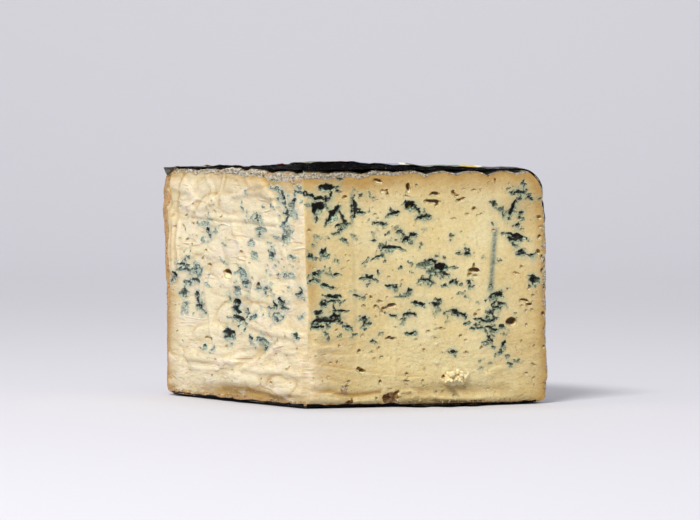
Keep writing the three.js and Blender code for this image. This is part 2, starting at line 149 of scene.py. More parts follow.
# ---- The cheese: openings ---------------------------------------------------------------------
# Blue openings are ragged and lie flat, as the curd settled; brown ones are clean holes that never
# turned blue; straw ones are shallow chips. Each: along, up, length, height, turn, strength.
BLUE = {"right": """
    12 107.5 8 3.5 0 1; 16.5 107.8 3.5 .9 12 1; 13.5 104 1.5 4 0 1; 1 105.3 3 1 0 1;
    5.5 102.8 9 1.8 -12 1; 11 101 2.5 3.5 0 1; 13 102.5 1.6 1.6 0 1; 12 98 1.8 2.5 0 .8; 6.5 97.3 5 6 0 1;
    6 92.5 1.2 3.5 0 .8; 2 99 3 1 0 1; 15 94.3 9 3.2 42 1; 17.5 98 2.2 1.6 0 1; 18.5 94.8 2.2 1.6 0 1;
    20 92 4.5 2 -50 1; 17.5 89.5 4 1.4 10 .9; 25.6 97.5 1.7 13 -3 1; 27.5 96.6 3 1.3 15 .9;
    28.7 95.3 5 1.2 12 .9; 29.5 103.8 1.8 1.5 -45 .8; 33.3 105 1 1 0 .8; 55 98.3 4.7 4.3 0 1;
    58.5 95.4 3.8 1.8 -52 1; 61 92.6 6 2.2 5 1; 62.8 94.3 1.6 2 0 .8; 46 94.5 5.4 2.2 20 1;
    43 93.2 3.6 1.6 10 .45; 37.5 90 4.2 1.6 0 .9; 47 88 2.6 1 0 .5; 48 85.8 1.4 1.2 0 .8;
    35 85 2.4 1.6 0 .4; 34.5 81.7 2.6 1.3 0 .8; 25.5 83.2 3.6 1.2 -35 .45; 52.5 81.8 4.6 2.2 0 1;
    56 84 5 1.3 42 .9; 49.8 83.6 3.4 1.2 -38 .8; 20 89.5 1.6 3.2 0 .8; 18.5 86.8 2.2 1.6 0 .9;
    15.5 85 4.2 1.3 0 .8; 20.6 81.7 3.4 1.3 -55 .8; 5.5 83 3.2 2 0 .4; 3.5 79.6 3 .9 0 .7;
    111 105 8.2 1.4 0 1; 116 103.9 2.6 1 0 .8; 108 104.7 1.6 1.6 0 .8; 113.5 108.5 .9 6 0 .9;
    110.5 101.5 1.5 3 0 .8; 115.5 101.7 3.6 1.3 0 1; 98 99 1.6 3.6 0 .8; 101 96.3 2.6 2.2 0 .6;
    102.3 93 1.1 4 0 .8; 107.5 96 7.6 2.9 68 1; 104.6 94 3 4 0 .35; 112.3 95 1.6 1.9 0 .9;
    112.5 92.6 1.8 1.4 0 .9; 109.3 88.2 2.6 2 0 1; 107.5 83.3 11 1.9 -10 1; 108.5 81.2 6.4 1.9 0 .9;
    109 78.3 1.9 1.9 0 .8; 75.5 83.3 1.3 1.1 0 .8; 58.3 78.4 1.2 1.2 0 .7; 57 85 1.3 1.2 0 .7;
    97.5 89.5 1.4 1.2 0 .7; 97.4 71 1.4 1.1 0 .8; 96 59 1.4 1.2 0 .8; 43.5 77.8 9.4 1.9 -8 1;
    36 72.7 8.4 1 15 .8; 42 75.6 5 1.5 10 .35; 8.5 76.3 2.6 2.3 0 .9; 10.5 74 4.2 1.1 0 .8;
    2.5 74 2.2 1.5 0 .8; 4 73.5 2 1 0 .8; 16.5 71.7 2 1.6 0 .5; 4 65 3.6 1.6 0 1; 7 66.8 1.6 1.6 0 .8;
    15 64.8 5.2 1.2 4 .9; 3.5 62.2 4.6 1.1 0 1; 10 59.5 5.4 1.7 -25 1; 30 63.3 4.2 1 0 .9;
    32.6 63 3 1.7 -35 1; 35.5 61.8 2.2 1 0 .8; 42.5 59.2 3.8 2.6 0 1; 45.2 58.4 3 1 -15 .8;
    52.3 57.1 2.2 1.9 0 1; 48.5 54.3 8 .9 10 .8; 13 54.4 6.4 2.1 -12 1; 25 54.5 3.4 1.2 0 .9;
    13.5 52 8.8 1.1 0 1; 8.5 50.5 3.2 2.6 0 .9; 17 48 6.2 1.1 -8 .9; 13.5 47.3 2.2 1.5 0 .9;
    5.5 46.2 3.2 1.9 0 1; 5.5 44 2 2 0 .8; 14 44.7 4.7 2.6 0 1; 9 42.5 12.8 2 0 1; 3.5 41.3 2.2 1.6 0 1;
    5.5 39.5 4.6 1.3 0 .9; 10.5 40 2.2 1.2 0 .9; 28.8 44 3 1.9 0 1; 29 41.3 2 3 0 .9; 32 40.8 2.7 1.2 0 1;
    28 39.2 2.6 1.6 0 .4; 57.5 50.5 5.4 2 0 1; 44 44.8 3.4 1.3 0 .9; 51 45.6 4.2 1.4 22 1;
    54 45.2 3.2 1.3 -14 1; 49.5 43.2 4.2 1 0 .9; 50 41.2 2.8 2 0 .4; 47.7 67.8 1.5 1.4 0 .8;
    54 66 1.1 1 0 .8; 54.8 70 1.1 1 0 .6; 69.5 67.3 5.4 5 0 1; 66.4 70.3 5 1.8 -28 1;
    63 71.6 3.8 1.2 0 .9; 61 69.3 6.4 3 0 .62; 65.3 66.2 4.2 4 0 .66; 62 61.5 6.4 1.4 0 .9;
    64 63.2 2.2 1.6 0 .8; 70.5 64.4 4.4 1.4 -15 .9; 76.2 68.2 6.2 .7 0 .9; 67.5 73.5 2.6 1.1 0 .8;
    75.5 61 4.7 1.2 10 1; 70.5 59 4.7 1.1 0 .9; 84.5 60.9 3.6 .9 0 .9; 84.8 59.9 1.5 2 0 .9;
    84.7 58 1.6 1.5 0 .8; 78.5 54.8 6.2 .7 4 .6; 83.3 74.7 2.1 1.9 0 .9; 112.5 74.8 2.1 1.8 0 1;
    112 73.5 4.2 1.5 0 .9; 117 73.2 3.2 1.7 0 1; 119.3 60.8 3.2 4.8 0 1; 100.5 54.3 3.2 2.7 0 1;
    96.5 54.5 4.2 2 0 .9; 94.8 52.8 1.6 2.6 0 .9; 98 53.7 2 1.6 0 .8; 96.9 50 4 1.2 60 .9;
    100 50 4 1.2 -58 .9; 98.5 47.6 5.4 1.2 0 1; 101.6 50 2.6 1.3 0 1; 91 42 5.2 1 -15 1;
    93.6 43.5 1.2 3.6 0 1; 97.4 43.5 1.2 3.6 0 1; 95.5 45.4 3.4 1.1 0 1; 95.5 41.6 3.4 1.1 0 1;
    76 46.2 4.7 2.1 -20 1; 80.5 44.2 4.5 1.9 -35 1; 67.8 52 1.6 1.7 0 .9; 66.8 49.8 2.3 2.3 0 1;
    67 46.5 2 1.8 0 .4; 71.5 45.8 1.1 1.1 0 .9; 104.5 58 1.1 1 0 .8; 83.5 40 3.6 .9 10 .8;
    20.3 39 2.8 1.6 0 .9; 24 35.2 3.2 1.3 0 .7; 8.5 37 1.6 1.5 0 .8; 10 34 1.3 1.2 0 .7;
    34.2 32.3 2.5 1.4 0 1; 85.8 37.3 2.3 1.1 0 .8; 90.5 37.5 4.6 1.1 -15 .9; 94.5 38.6 3.4 1.3 20 1;
    97.6 37 3.8 1.5 -20 1; 96 35.9 2.2 1.1 0 1; 101.5 38 1.4 1.4 0 .9; 94.8 32.2 4.6 1.6 -62 1;
    92.5 29.8 2.7 1.3 0 .9; 97 28.5 1.7 1.3 0 .8; 102.3 29.5 2.1 3.6 0 .9; 101 26 2.3 1.6 0 .8;
    76 26 2.7 2.3 0 .8; 90.3 22 1.5 1.1 0 .5; 95.5 20.3 1.5 1.2 0 .5; 90.7 18 1.3 1 0 .4;
    104.8 23.5 1.7 1.4 0 .6; 109.5 22 1.5 1.3 0 .6; 105 20 1.6 1.2 0 .6; 107 18.3 1.5 1.1 0 .5;
    53.8 36.3 4.7 1.5 0 .9""",
        "left": """
    17 104 1.6 3.6 8 .8; 15.4 100.5 1.7 6 6 .85; 14.8 95 1.7 6 0 .8; 16 90 1.7 5 -20 .8;
    18.3 86.5 1.6 4 -40 .7; 19.3 82.5 1.6 5.5 0 .7; 15 83 4.5 6 0 .3; 21 106.5 5.4 1.3 0 .6;
    5 105.3 7.4 1.1 0 .9; 6 101 2.2 3 0 .8; 9 96 7 7 0 .28; 8 98 1.6 1.4 0 .7; 11 94 1.6 1.6 0 .7;
    40 92 2.8 2.7 0 1; 43.5 92 4 3 0 .3; 36 91 4 3 0 .28; 36 86 9.5 2.6 8 .42; 38.5 84 1.6 4.2 0 .7;
    53 100.3 1.5 1.2 0 .5; 53.5 97 1.6 1.3 0 .5; 48.5 104.3 1.6 1.2 0 .4; 49 93 1.2 7 0 .22;
    83.5 82 2.5 2.4 0 1; 84.6 85 2.1 3.2 0 .9; 88 88 10 2.6 0 .3; 79 84.5 3 2 0 .3;
    92.5 100.2 1.3 1.1 0 .5; 84 94 1.2 1 0 .6; 21.5 100.3 1.2 1 0 .6; 46 79.5 5.4 3 0 .35;
    27 78 2.6 2 0 .35; 24 82.5 2.6 2 0 .4; 71 78.5 1.6 1.4 0 .4; 29 74 3.1 3.6 0 .75;
    26.5 75.3 2.2 1.6 0 .6; 9.5 74 5.4 1.3 8 .7; 43 73.5 8.5 2.1 10 .45; 108.5 67 4.2 1.9 0 .8;
    92.6 64.5 1.8 4 0 .6; 97.4 64.5 1.8 4 0 .6; 95 66.6 5 1.4 0 .6; 95 62.3 5 1.4 0 .6;
    105 64.7 10 1 0 .7; 116.5 61.5 4.4 3.6 -45 1; 97 60.3 4.4 1.7 0 .8; 103.5 58.5 6.2 2 0 .8;
    108.5 53 5.2 4.6 0 .75; 95.5 52.5 2.4 3.4 0 1; 94.5 48 2.6 5.4 0 1; 92 46.3 2.6 2.6 0 .9;
    91 44.3 1.8 2.2 0 .9; 107 46.5 5.4 3 0 .35; 108 43 4 3 0 .3; 55 65 6.2 4 0 .5; 54.5 63 3 2 0 .7;
    53 59 3.8 2.1 0 .75; 41 58.8 3.4 2.6 -45 .95; 36.5 57.5 4.2 2.1 0 .6; 29.5 57.2 2.3 1.3 0 .6;
    18.5 65 3.7 1.9 0 1; 12 64.5 4 2 0 .3; 60 55.5 5.4 3.4 0 .45; 5.5 57 3 4.6 0 1; 60 49 5.4 4.2 0 1;
    60.4 45 6.2 3.2 30 1; 57 41.3 12.4 3.2 0 1; 63 42.7 3 3 0 1; 52 46 2.1 2.6 0 .8; 45 43.5 5.4 1.6 0 .7;
    28.5 49.5 3.2 3.7 0 .9; 20.5 51 3.2 3.7 0 .95; 18.5 49 4.2 1.3 0 .8; 25.5 45.5 1.8 1.5 0 .7;
    25 42.3 1.6 1.4 0 .6; 6 45 4.2 2 0 .4; 67.5 51.5 1.6 1.4 0 .7; 67.5 34.2 7.4 4.2 0 1;
    68 31.8 8.4 2.1 0 .5; 46.5 32.5 3.2 3.2 0 .75; 38.5 31.5 4.2 2.1 0 .7; 35.5 28 2.6 2 0 .7;
    65 28.5 2.2 1.4 0 .4; 53 36.5 3.2 1.2 0 .6; 88.5 26.5 3.3 1.5 0 .9; 78.5 26 1.6 1.2 0 .6;
    8 34.8 2.2 2.7 0 .8; 33 65.5 2.4 1.6 0 .4; 84 57.5 3 1.8 0 .3; 73 69 2.2 1.5 0 .35; 101 71 2 1.4 0 .5""",
        }
BROWN = {"right": """
    21 102.8 2.4 1.8 0 1; 38 110.5 4.7 1.4 -12 1; 42.7 104.4 3 1.3 -50 1; 42 106 2.2 1 0 .8;
    53.5 107 2 5 0 1; 57.5 108.2 1.2 1.9 0 .8; 66 100.4 8.4 1.5 0 1; 68.2 98.8 1.3 2.6 0 .9;
    66.5 104 5.2 1.9 0 .9; 76.7 104.3 3 1.2 -68 1; 78.3 102.8 2.6 1.1 0 1; 80.5 101.2 5.2 1.1 15 .8;
    86.5 105.8 2.3 .9 0 .7; 98 110.5 1 2.6 0 .8; 87.5 96.6 2.1 1.9 0 .7; 77.5 91.7 3.2 .8 0 .5;
    84 94 2.6 .8 0 .5; 87.2 66.3 6.4 2.1 -8 1; 87 68.3 1.1 2.6 0 .9; 84.5 64.4 2.3 1.5 0 .7;
    32.5 53.8 1.6 1.5 0 .9; 28.5 49.5 2.5 1.3 0 .9; 37.3 51.8 3.2 1.2 0 .9; 43 49.6 5.7 1.9 0 1;
    39.4 48.2 2.6 1.4 -20 .9; 34.6 49.4 2 1.3 10 .8; 113 51.3 5.2 1.6 -8 1; 115.8 49 3.6 1.6 0 1;
    106.5 40.8 5.8 4.2 -10 1; 87.2 44.5 1.7 1.6 0 .7; 43 33.7 6.2 1.2 0 1; 26.7 27.5 1.9 1.8 0 1;
    15.5 22.6 1.5 1.4 0 .9; 38.8 24.5 1.3 1.2 0 .9; 37 29.3 1.3 1.2 0 .8; 60.3 27.5 1.3 1.2 0 .8;
    16.3 30 1.3 1.2 0 .8; 52 16 1.6 1.4 0 .9; 51.2 12.7 1.3 1.2 0 .8; 38 12.3 1.6 1.5 0 1;
    21.7 12.7 1.3 1.2 0 .8; 60 12.5 1.3 1.2 0 .8; 36.2 4.2 1.5 1.4 0 .8; 90.5 28.3 1.8 1.2 0 .9;
    82.5 26 3 1.1 0 .9; 79.5 34.5 1.6 1 0 .7; 82 32 1.8 1 0 .7; 71.5 14.3 2.6 1.6 0 .9;
    74.7 12.3 1.8 1.1 0 .8; 68.5 38 6.2 .8 6 .6; 112 31.5 1.2 1 0 .7; 118.5 28.5 1.2 1.1 0 .7;
    22.6 1.9 2 3.4 20 .6; 41.5 4.6 4 2.6 -20 .7; 46.5 4.4 1.6 3 30 .6; 20.4 10.6 1.4 1.1 0 .9;
    18.4 7.6 .9 1.6 20 .7; 71 7.2 1.2 1 0 .6; 82.5 9 1.2 1 0 .6; 46.6 6.4 3 2 40 .8;
    121.3 92.5 1.8 2 0 .8; 121.6 82.5 1.8 2 0 1; 120.7 75 1.6 3 20 .9; 122.7 72.5 1.2 2.4 0 1;
    123.4 66 1.6 2.2 0 1; 27 18.9 2.4 1.8 0 1; 28.6 17.7 2.6 2.2 0 1; 124 57 1.3 1.5 0 .9;
    123.8 44 1.6 2.2 0 1; 123.8 37 1.5 2 0 1; 124 28 1.5 2 0 1""",
         "left": """
    84.5 67.6 1.8 1.5 0 .8; 68.5 64 8.4 4 8 .9; 92 25 4 1.2 5 .5; 54 74.7 2.6 1.6 0 .4;
    104 80 3 1.4 -20 .45; 100 77 2.4 1.2 0 .4; 57 68 1.6 1.2 0 .5"""}
STRAW = {"right": """
    19 104.7 1.8 1.3 0 1; 40 105.5 2.4 1.6 0 1; 53 102.8 3.7 1.1 -12 1; 2 86 2.2 1.3 0 1;
    109 64.5 3.6 1 0 1; 87 63.6 3 1.2 0 1; 112.3 67.5 1.8 1.1 0 1; 114 46 1.6 1.2 0 1;
    117.5 46.5 1.8 1.2 0 1; 111.5 48.5 1.8 1.1 0 1; 118 53.5 1.8 1.3 0 1; 14.7 37.5 1.8 1.3 0 1;
    28.5 35.2 1.6 1.1 0 1; 118.5 19 2.8 1.5 -30 1; 114.5 14.8 1.6 1.1 0 1; 118 12.5 1.6 1.2 0 1;
    38.2 46.8 1 3.4 25 1; 36.6 48.6 3 .9 -30 1; 40.5 48.4 3 .9 30 1; 56 33 1.8 1 0 1; 66 33.5 1.8 1 0 1;
    63 36.6 2 1 0 1""",
         "left": """
    87 75 3 1.6 0 1; 108 85.5 6 1.2 60 1; 88 30.7 6.4 1.2 0 1; 67.5 26.5 2.2 1.3 0 1; 6 28.5 1.6 1.6 0 1;
    25 32 1.5 1.5 0 1; 28 11 2 1.6 0 1; 84 30 5 1.3 -10 1; 112 98 3 1.2 30 1; 106 92 2.4 1.2 -20 1;
    99 88 2 1.6 0 1; 90 70 2 1.6 0 1"""}


def openings(listed):
    return [tuple(map(float, entry.split())) for entry in listed.split(";")]


def depth_inside(along, up, place, length, height, turn):
    """Millimetres inside a lens-shaped opening, negative outside it."""
    a, b = along - place[0], up - place[1]
    c, s = math.cos(math.radians(turn)), math.sin(math.radians(turn))
    a, b = a * c + b * s, b * c - a * s
    stretch = np.sqrt((2 * a / length) ** 2 + (2 * b / height) ** 2) + 1e-6
    return (1 - stretch) * np.hypot(a, b) / stretch


OPENING_WARPS = ((3.4, 1.0), (1.5, 0.95))
# Of each kind: the least depth of its floor, the share of its smaller size that adds to it, the share
# of its height that lies in shade under the upper lip, and how ragged its edge is
OPENING_KINDS = {"blue": (0.25, 0.42, 0.14, 1.0), "brown": (0.4, 0.62, 0.2, 0.5),
                 "straw": (0.25, 0.2, 0.3, 0.6)}
DEEPEST = 2.8
WIDEST_LIP = 0.7
FAR_OUTSIDE = -6.0
Opened = collections.namedtuple("Opened", "inside shaded strength tint depth")
SEEDS = {"right": 11, "left": 47}
WIDENED = {"right": 1.0, "left": 0.5}  # the knife drew everything on the left face out sideways


def scattered(side, count, near=None, spread=0.0, small=0.6, large=1.2, strength=(0.3, 0.8)):
    """Small openings that the eye can't count: anywhere on a face, or strewn about the listed ones."""
    pick = np.random.default_rng(SEEDS[side] * 100 + count)
    made = []
    for _ in range(count):
        if near:
            about = near[pick.integers(len(near))]
            at = (about[0] + pick.normal(0, spread), about[1] + pick.normal(0, 0.7 * spread))
        else:
            at = (pick.uniform(2, 122), pick.uniform(3, 110))
        size = pick.uniform(small, large)
        made.append((*at, size * pick.uniform(1, 1.9), size, pick.normal(0, 15), pick.uniform(*strength)))
    return made


ARM_LEAN = 38  # degrees that a crack may turn from its opening, as a spread


def with_arms(side, listed):
    """Each large opening runs out into a few thin cracks, where the curds didn't knit."""
    pick = np.random.default_rng(SEEDS[side])
    arms = []
    for s, z, length, height, turn, force in listed:
        for _ in range(int(min(length * height / 4, 3)) if force > 0.6 else 0):
            lean = turn + pick.normal(0, ARM_LEAN)
            reach = pick.uniform(0.25, 0.6) * length + 0.6
            end = pick.choice((-1, 1)) * pick.uniform(0.3, 0.7) * length
            c, n = math.cos(math.radians(turn)), math.sin(math.radians(turn))
            place = (s + end * c, z + end * n + pick.normal(0, 0.3) * height)
            arms.append((*place, reach, pick.uniform(0.5, 0.8), lean, 0.85 * force))
    return listed + arms


def opening_fields(side, along, up, listed, floor_depth, depth_share, lip_share, torn):
    """For one kind of opening: millimetres inside it, and inside the part in shade under its upper lip,
    the nearest one's strength, the tint round it, and its depth."""
    seed, wide = SEEDS[side], WIDENED[side]
    a, b = along, up
    for number, (size, reach) in enumerate(OPENING_WARPS):
        a = a + torn * reach / wide * lumps(along * wide, up, 0, size, seed + number)
        b = b + torn * 0.8 * reach * lumps(along * wide, up, 40, size, seed + number + 5)
    inside, shaded = (np.full(along.shape, FAR_OUTSIDE) for _ in range(2))
    strength, tint, depth = (np.zeros(along.shape) for _ in range(3))
    for s, z, length, height, turn, force in listed:
        reach = length / 2 + 8
        near = (np.abs(along - s) < reach) & (np.abs(up - z) < reach)
        within = depth_inside(a[near], b[near], (s, z), length, height, turn)
        better = within > inside[near]
        inside[near] = np.maximum(inside[near], within)
        strength[near] = np.where(better, force, strength[near])
        lip = min(lip_share * height + 0.2, WIDEST_LIP)
        upper = depth_inside(a[near], b[near], (s, z + lip), 0.96 * length, 0.88 * height, turn)
        shaded[near] = np.maximum(shaded[near], upper)
        tint[near] += force * hump(np.minimum(within, 0), 0, 1.7) * min(1, height / 1.6)
        floor = min(floor_depth + depth_share * min(length, height), DEEPEST) * (0.3 + 0.7 * force)
        depth[near] = np.maximum(depth[near], floor * step(within, -0.15, 0.75))
    return Opened(inside, shaded, strength, np.minimum(tint, 1.4), depth)


# ---- The cheese: relief of the cut faces ------------------------------------------------------
# The knife dragged the paste into folds, and the soft cheese sagged a little, most near the base of the right
# face, where it lies over a crease, painted with shade, below the line that the knife left.
KNIFE_LINE = [(3, 21.4), (12, 20), (25, 18), (36, 16.2), (50, 14.5), (58, 14)]
BASE_CREASE = [(0, 8.6), (7, 8), (12, 8.3), (17, 7.2), (24, 6.2), (30, 6.6), (38, 7.4)]
# Each fold: a path along and up the face, a height, and how far it fades to the path's left and right
FOLDS = {
    "right": [
        ([(6, 14), (60, 9)], 0.9, 8, 8), ([(50, 7), (66, 8), (104, 7.6)], -0.7, 3, 2.4),
        ([(48, 5), (66, 4.6), (100, 3.8)], 0.6, 0.9, 2.6),
        ([(2, 44), (5, 36), (4, 28), (2, 20)], 0.7, 4, 5), ([(0, 33), (6, 30), (9, 29.5)], 0.35, 1.2, 3),
        ([(0, 31.5), (8, 29.6), (18, 30)], 0.5, 0.7, 2),
        ([(4, 26.5), (16, 25.2), (34, 25.6)], 0.35, 0.6, 2),
        ([(0, 38), (9, 36.5), (14, 38)], 0.35, 0.7, 2), ([(0, 12), (8, 13), (16, 12)], 0.6, 0.7, 2.5),
        ([(2, 8), (12, 7.5), (20, 8.5)], 0.6, 0.7, 2), ([(118, 75), (121, 25)], 0.8, 9, 9),
        ([(20, 60), (90, 50)], 0.6, 26, 26), ([(47.5, 6.6), (50, 8), (54, 8.2), (57, 7)], 0.9, 0.6, 1.6),
        ([(66, 3.9), (78, 3), (90, 2.8)], 0.7, 0.8, 0.8),
        ([(94, 16), (98, 18.6), (102, 18.8)], 0.5, 0.6, 2.2), ([(96, 70), (97.5, 106)], -0.25, 2, 2),
        ([(24.6, 104), (24.2, 30)], -0.12, 1, 1), ([(30, 38), (30, 14)], 0.16, 0.4, 0.5),
        ([(45.6, 42), (45.4, 14)], 0.16, 0.4, 0.5), ([(26, 98), (26, 12)], 0.1, 3, 1),
        ([(46, 60), (45, 12)], 0.08, 2, 1), (BASE_CREASE, -0.7, 1.2, 0.8),
        ([(2, 4.6), (10, 4.9), (17, 4.4)], 0.7, 0.9, 1.4),
        ([(24, 3.6), (31, 3.8), (37, 4)], 0.5, 0.8, 1.2), (KNIFE_LINE, 0.5, 0.45, 1.3),
    ],
    "left": [
        ([(68, 114), (70, 108), (72, 104), (79, 100.6)], 1.3, 1.5, 6),
        ([(100, 91), (84, 90.2), (60, 89.6), (24, 88.5)], -0.6, 0.9, 0.7),
        ([(100, 93.5), (84, 92.8), (60, 92), (24, 91)], 0.5, 3, 1.6),
        ([(121, 112), (120.3, 98), (121.6, 80), (123.2, 55)], -0.8, 1, 0.8),
        ([(121, 93), (121, 76), (119, 64)], 1.3, 1.2, 2.6),
        ([(117, 90), (117, 76), (116, 64)], 1.1, 1.2, 2),
        ([(113, 88), (113, 75), (112, 66)], 0.8, 1.2, 2),
        ([(58, 103), (48, 105), (35, 105), (28, 103)], 1.3, 1.5, 5),
        ([(119, 106.5), (110, 105), (100, 105)], 0.9, 1.4, 4),
        ([(72, 76), (68, 62), (65, 38)], -0.5, 1.5, 2.5),
        ([(50, 39.5), (38, 37.4), (30, 36), (18, 35.2), (8, 35)], 1.4, 1.4, 5),
        ([(56, 20), (42, 25), (30, 31)], -1.5, 3.6, 2.4),
        ([(52, 17.5), (38, 22), (26, 28)], 0.9, 1.6, 1.3),
        ([(46, 21), (34, 26), (22, 31)], 0.6, 1.4, 1.2),
        ([(104, 20.6), (84, 20), (60, 19.6)], 1.3, 1.3, 4),
        ([(72, 17.6), (40, 16.8), (20, 16.5), (-6, 14.6)], 1.1, 1.2, 3.4),
        ([(100, 15), (80, 15.5), (58, 14)], 0.8, 1.2, 3), ([(90, 25), (72, 24.5), (60, 26)], 0.8, 1.3, 4),
        ([(110, 11), (60, 11.5), (-8, 10.5)], 0.9, 5, 5),
        ([(46, 7.6), (25, 5.8), (-6, 7.6)], 0.8, 1, 2.4), ([(90, 5), (30, 5)], -1, 3.4, 3.4),
        ([(108, 97), (96, 95), (84, 97.6)], 0.9, 1.3, 5), ([(62, 86), (56, 78), (57, 69)], 0.8, 1.4, 4),
        ([(36, 112), (26, 104), (22, 94)], 0.9, 4, 1.5), ([(104, 72), (92, 74), (82, 72)], 0.8, 1.4, 4),
        ([(88, 60), (86, 46), (82, 32)], 0.8, 1.4, 4), ([(50, 70), (46, 62), (47, 52)], 0.7, 1.2, 4),
        ([(30, 30), (18, 27), (8, 27)], 0.8, 1.2, 4), ([(96, 34), (80, 37), (74, 36)], 0.8, 4, 1.3),
        ([(106, 110), (96, 101), (100, 93)], 0.7, 4, 1.4),
        ([(86, 112), (80, 106), (84, 98)], 0.6, 1.4, 4), ([(48, 112), (44, 108), (30, 109)], 0.6, 1.2, 4),
        ([(74, 60), (66, 56), (58, 60)], 0.6, 1.3, 4), ([(32, 60), (26, 54), (28, 46)], 0.6, 1.4, 3.6),
        ([(20, 78), (14, 70), (12, 60)], 0.5, 1.4, 4),
    ],
}
FOLD_STRENGTH = {"right": 1, "left": 1.2}


def path_distance(along, up, path):
    """How far each point lies from a path over the face, and whether it lies to the path's left."""
    nearest = np.full(along.shape, 1e9)
    leftward = np.zeros(along.shape, bool)
    for (s0, z0), (s1, z1) in zip(path, path[1:]):
        run, rise = s1 - s0, z1 - z0
        share = np.clip(((along - s0) * run + (up - z0) * rise) / (run ** 2 + rise ** 2), 0, 1)
        away = np.hypot(along - s0 - share * run, up - z0 - share * rise)
        closer = away < nearest
        nearest = np.where(closer, away, nearest)
        leftward = np.where(closer, run * (up - z0) - rise * (along - s0) > 0, leftward)
    return nearest, leftward


def fold_height(side, along, up):
    total = np.zeros(along.shape)
    wander = 0.5 * lumps(along * WIDENED[side], up, 20, 6, SEEDS[side] + 12)
    for path, height, left_reach, right_reach in FOLDS[side]:
        nearest, leftward = path_distance(along + wander, up + wander, path)
        total += height * np.exp(-(nearest / np.where(leftward, left_reach, right_reach)) ** 2)
    return total * FOLD_STRENGTH[side]


# Where piercing needles passed just under the cut, mould shows as a soft straight band
NEEDLE_CHANNELS = {
    "right": [
        ([(98.6, 86), (95.6, 57)], 1.4, 1.15), ([(24.7, 104.5), (24.4, 91)], 0.9, 0.9),
        ([(25, 90), (24.2, 40)], 0.9, 0.14), ([(61.5, 76), (61, 40)], 0.9, 0.1),
    ],
    "left": [
        ([(16, 106), (15, 84)], 0.9, 0.3), ([(67.5, 96), (68.5, 30)], 1.6, 0.1),
    ],
}


def channel_tint(side, along, up):
    total = np.zeros(along.shape)
    for path, reach, amount in NEEDLE_CHANNELS[side]:
        nearest, _ = path_distance(along, up, path)
        total = np.maximum(total, amount * np.exp(-(nearest / reach) ** 2))
    return total


def fine_relief(side, along, up):
    seed, drawn_out = SEEDS[side], along * WIDENED[side]
    broad = 0.35 * lumps(drawn_out, up, 0, 22, seed + 1) + 0.16 * lumps(drawn_out, up, 0, 9, seed + 2)
    small = 0.06 * lumps(drawn_out, up, 0, 3.2, seed + 3) + 0.035 * lumps(drawn_out, up, 0, 1.5, seed + 4)
    if side == "right":
        drawn = 0.05 * lumps(along * 0.3, up * 1.4, 0, 3, seed + 5)
        return broad + small + drawn
    dragged = lumps(along * 0.3, up * 1.3 + 0.3 * along, 0, 5, seed + 6) * step(40 - up, -10, 15)
    pillows, pleats = pillow_fields(along, up)
    return broad + 0.8 * small + 0.35 * dragged + 1.2 * np.abs(pillows) ** 0.8 + 0.4 * np.abs(pleats) ** 0.8


def pillow_fields(along, up):
    """Soft pillows and smaller pleats that meet in creases, where the blade let go of the left face."""
    drawn_out, seed = along * WIDENED["left"], SEEDS["left"]
    return lumps(drawn_out + 0.25 * up, up, 0, 11, seed + 8), lumps(drawn_out - 0.4 * up, up, 0, 6, seed + 10)


# Rind turned into the left face beside the rim: width at heights
RIM_STRIP = ([0, 30, 52, 80, 98, 112], [2.2, 2.6, 3.4, 5.4, 7.6, 5.5])
# Rind that laps over the paste below the top edge: reach down at places along each face
RIND_LAP = {"right": ([0, 60, 125], [0.3, 0.5, 0.9]), "left": ([0, 30, 60, 130], [0.4, 1, 1.6, 1.9])}
# Bits of base rind torn up over the right face: place, length, height, share of rind. Then gaps where
# such bits came away: place, length, height.
RIND_PATCHES = [((19.6, 9), 4.2, 6.4, 0.8)]
TORN_GAPS = [((22.4, 1.8), 3.6, 4.6), ((43, 3.4), 9, 5.6)]
# Where the paste is darker, or lighter, than round it, partly as brown paste and partly as painted shade,
# such as the dark strip beside the right face's nose and the dark band along the left face's base: along, up,
# reach along, reach up, amount
BROWNED_AND_SHADED = {
    "right": [
        (1, 70, 5, 30, 0.7), (26, 110, 26, 7, 0.8), (84, 110, 30, 7, 0.6), (14, 23, 20, 16, 0.5),
        (14, 62, 26, 26, 0.3), (80, 8, 36, 3, 0.15), (112, 34, 16, 34, 0.36), (46, 57, 18, 18, 0.2),
        (114, 98, 10, 16, 0.4), (40, 4, 30, 4, 0.1), (30, 10, 44, 11, 0.2), (10, 3.5, 9, 1.4, -0.5),
        (30, 3.2, 7, 1.4, -0.4), (46, 25, 26, 8, -0.25), (64, 68, 22, 20, -0.15),
    ],
    "left": [
        (46, 4, 34, 5, 1.1), (5, 62, 9, 34, 0.3), (121, 60, 7, 60, 0.5), (60, 30, 40, 14, 0.1),
        (58, 6.5, 24, 2.6, 0.35), (30, 108, 30, 8, 0.4),
    ],
}
# A lump of crumbled paste and a few flakes that cling to the right face: along, up, reach, height
CLINGING = [(77, 14, 5.6, 1.6), (82, 15, 2, 1.3), (73.4, 13, 2, 1.1), (67.5, 21.5, 1.1, 0.5),
            (67, 30.6, 1, 0.3)]


def smoothed(heights, turns=9):
    """The broad form that a relief's small folds lie on."""
    for _ in range(turns):
        edged = np.pad(heights, 1, mode="edge")
        heights = (edged[:-2, 1:-1] + edged[2:, 1:-1] + edged[1:-1, :-2] + edged[1:-1, 2:]) / 4
    return heights


def clinging_height(along, up):
    total = np.zeros(along.shape)
    for s, z, reach, height in CLINGING:
        broken = 0.8 + 1.3 * lumps(along, up, 7, 1.4, 5) + 0.7 * lumps(along, up, 9, 2.6, 6)
        total += (height * np.exp(-((along - s) / reach) ** 4 - ((up - z) / (0.62 * reach)) ** 4)
                  * np.maximum(broken, 0))
    return total


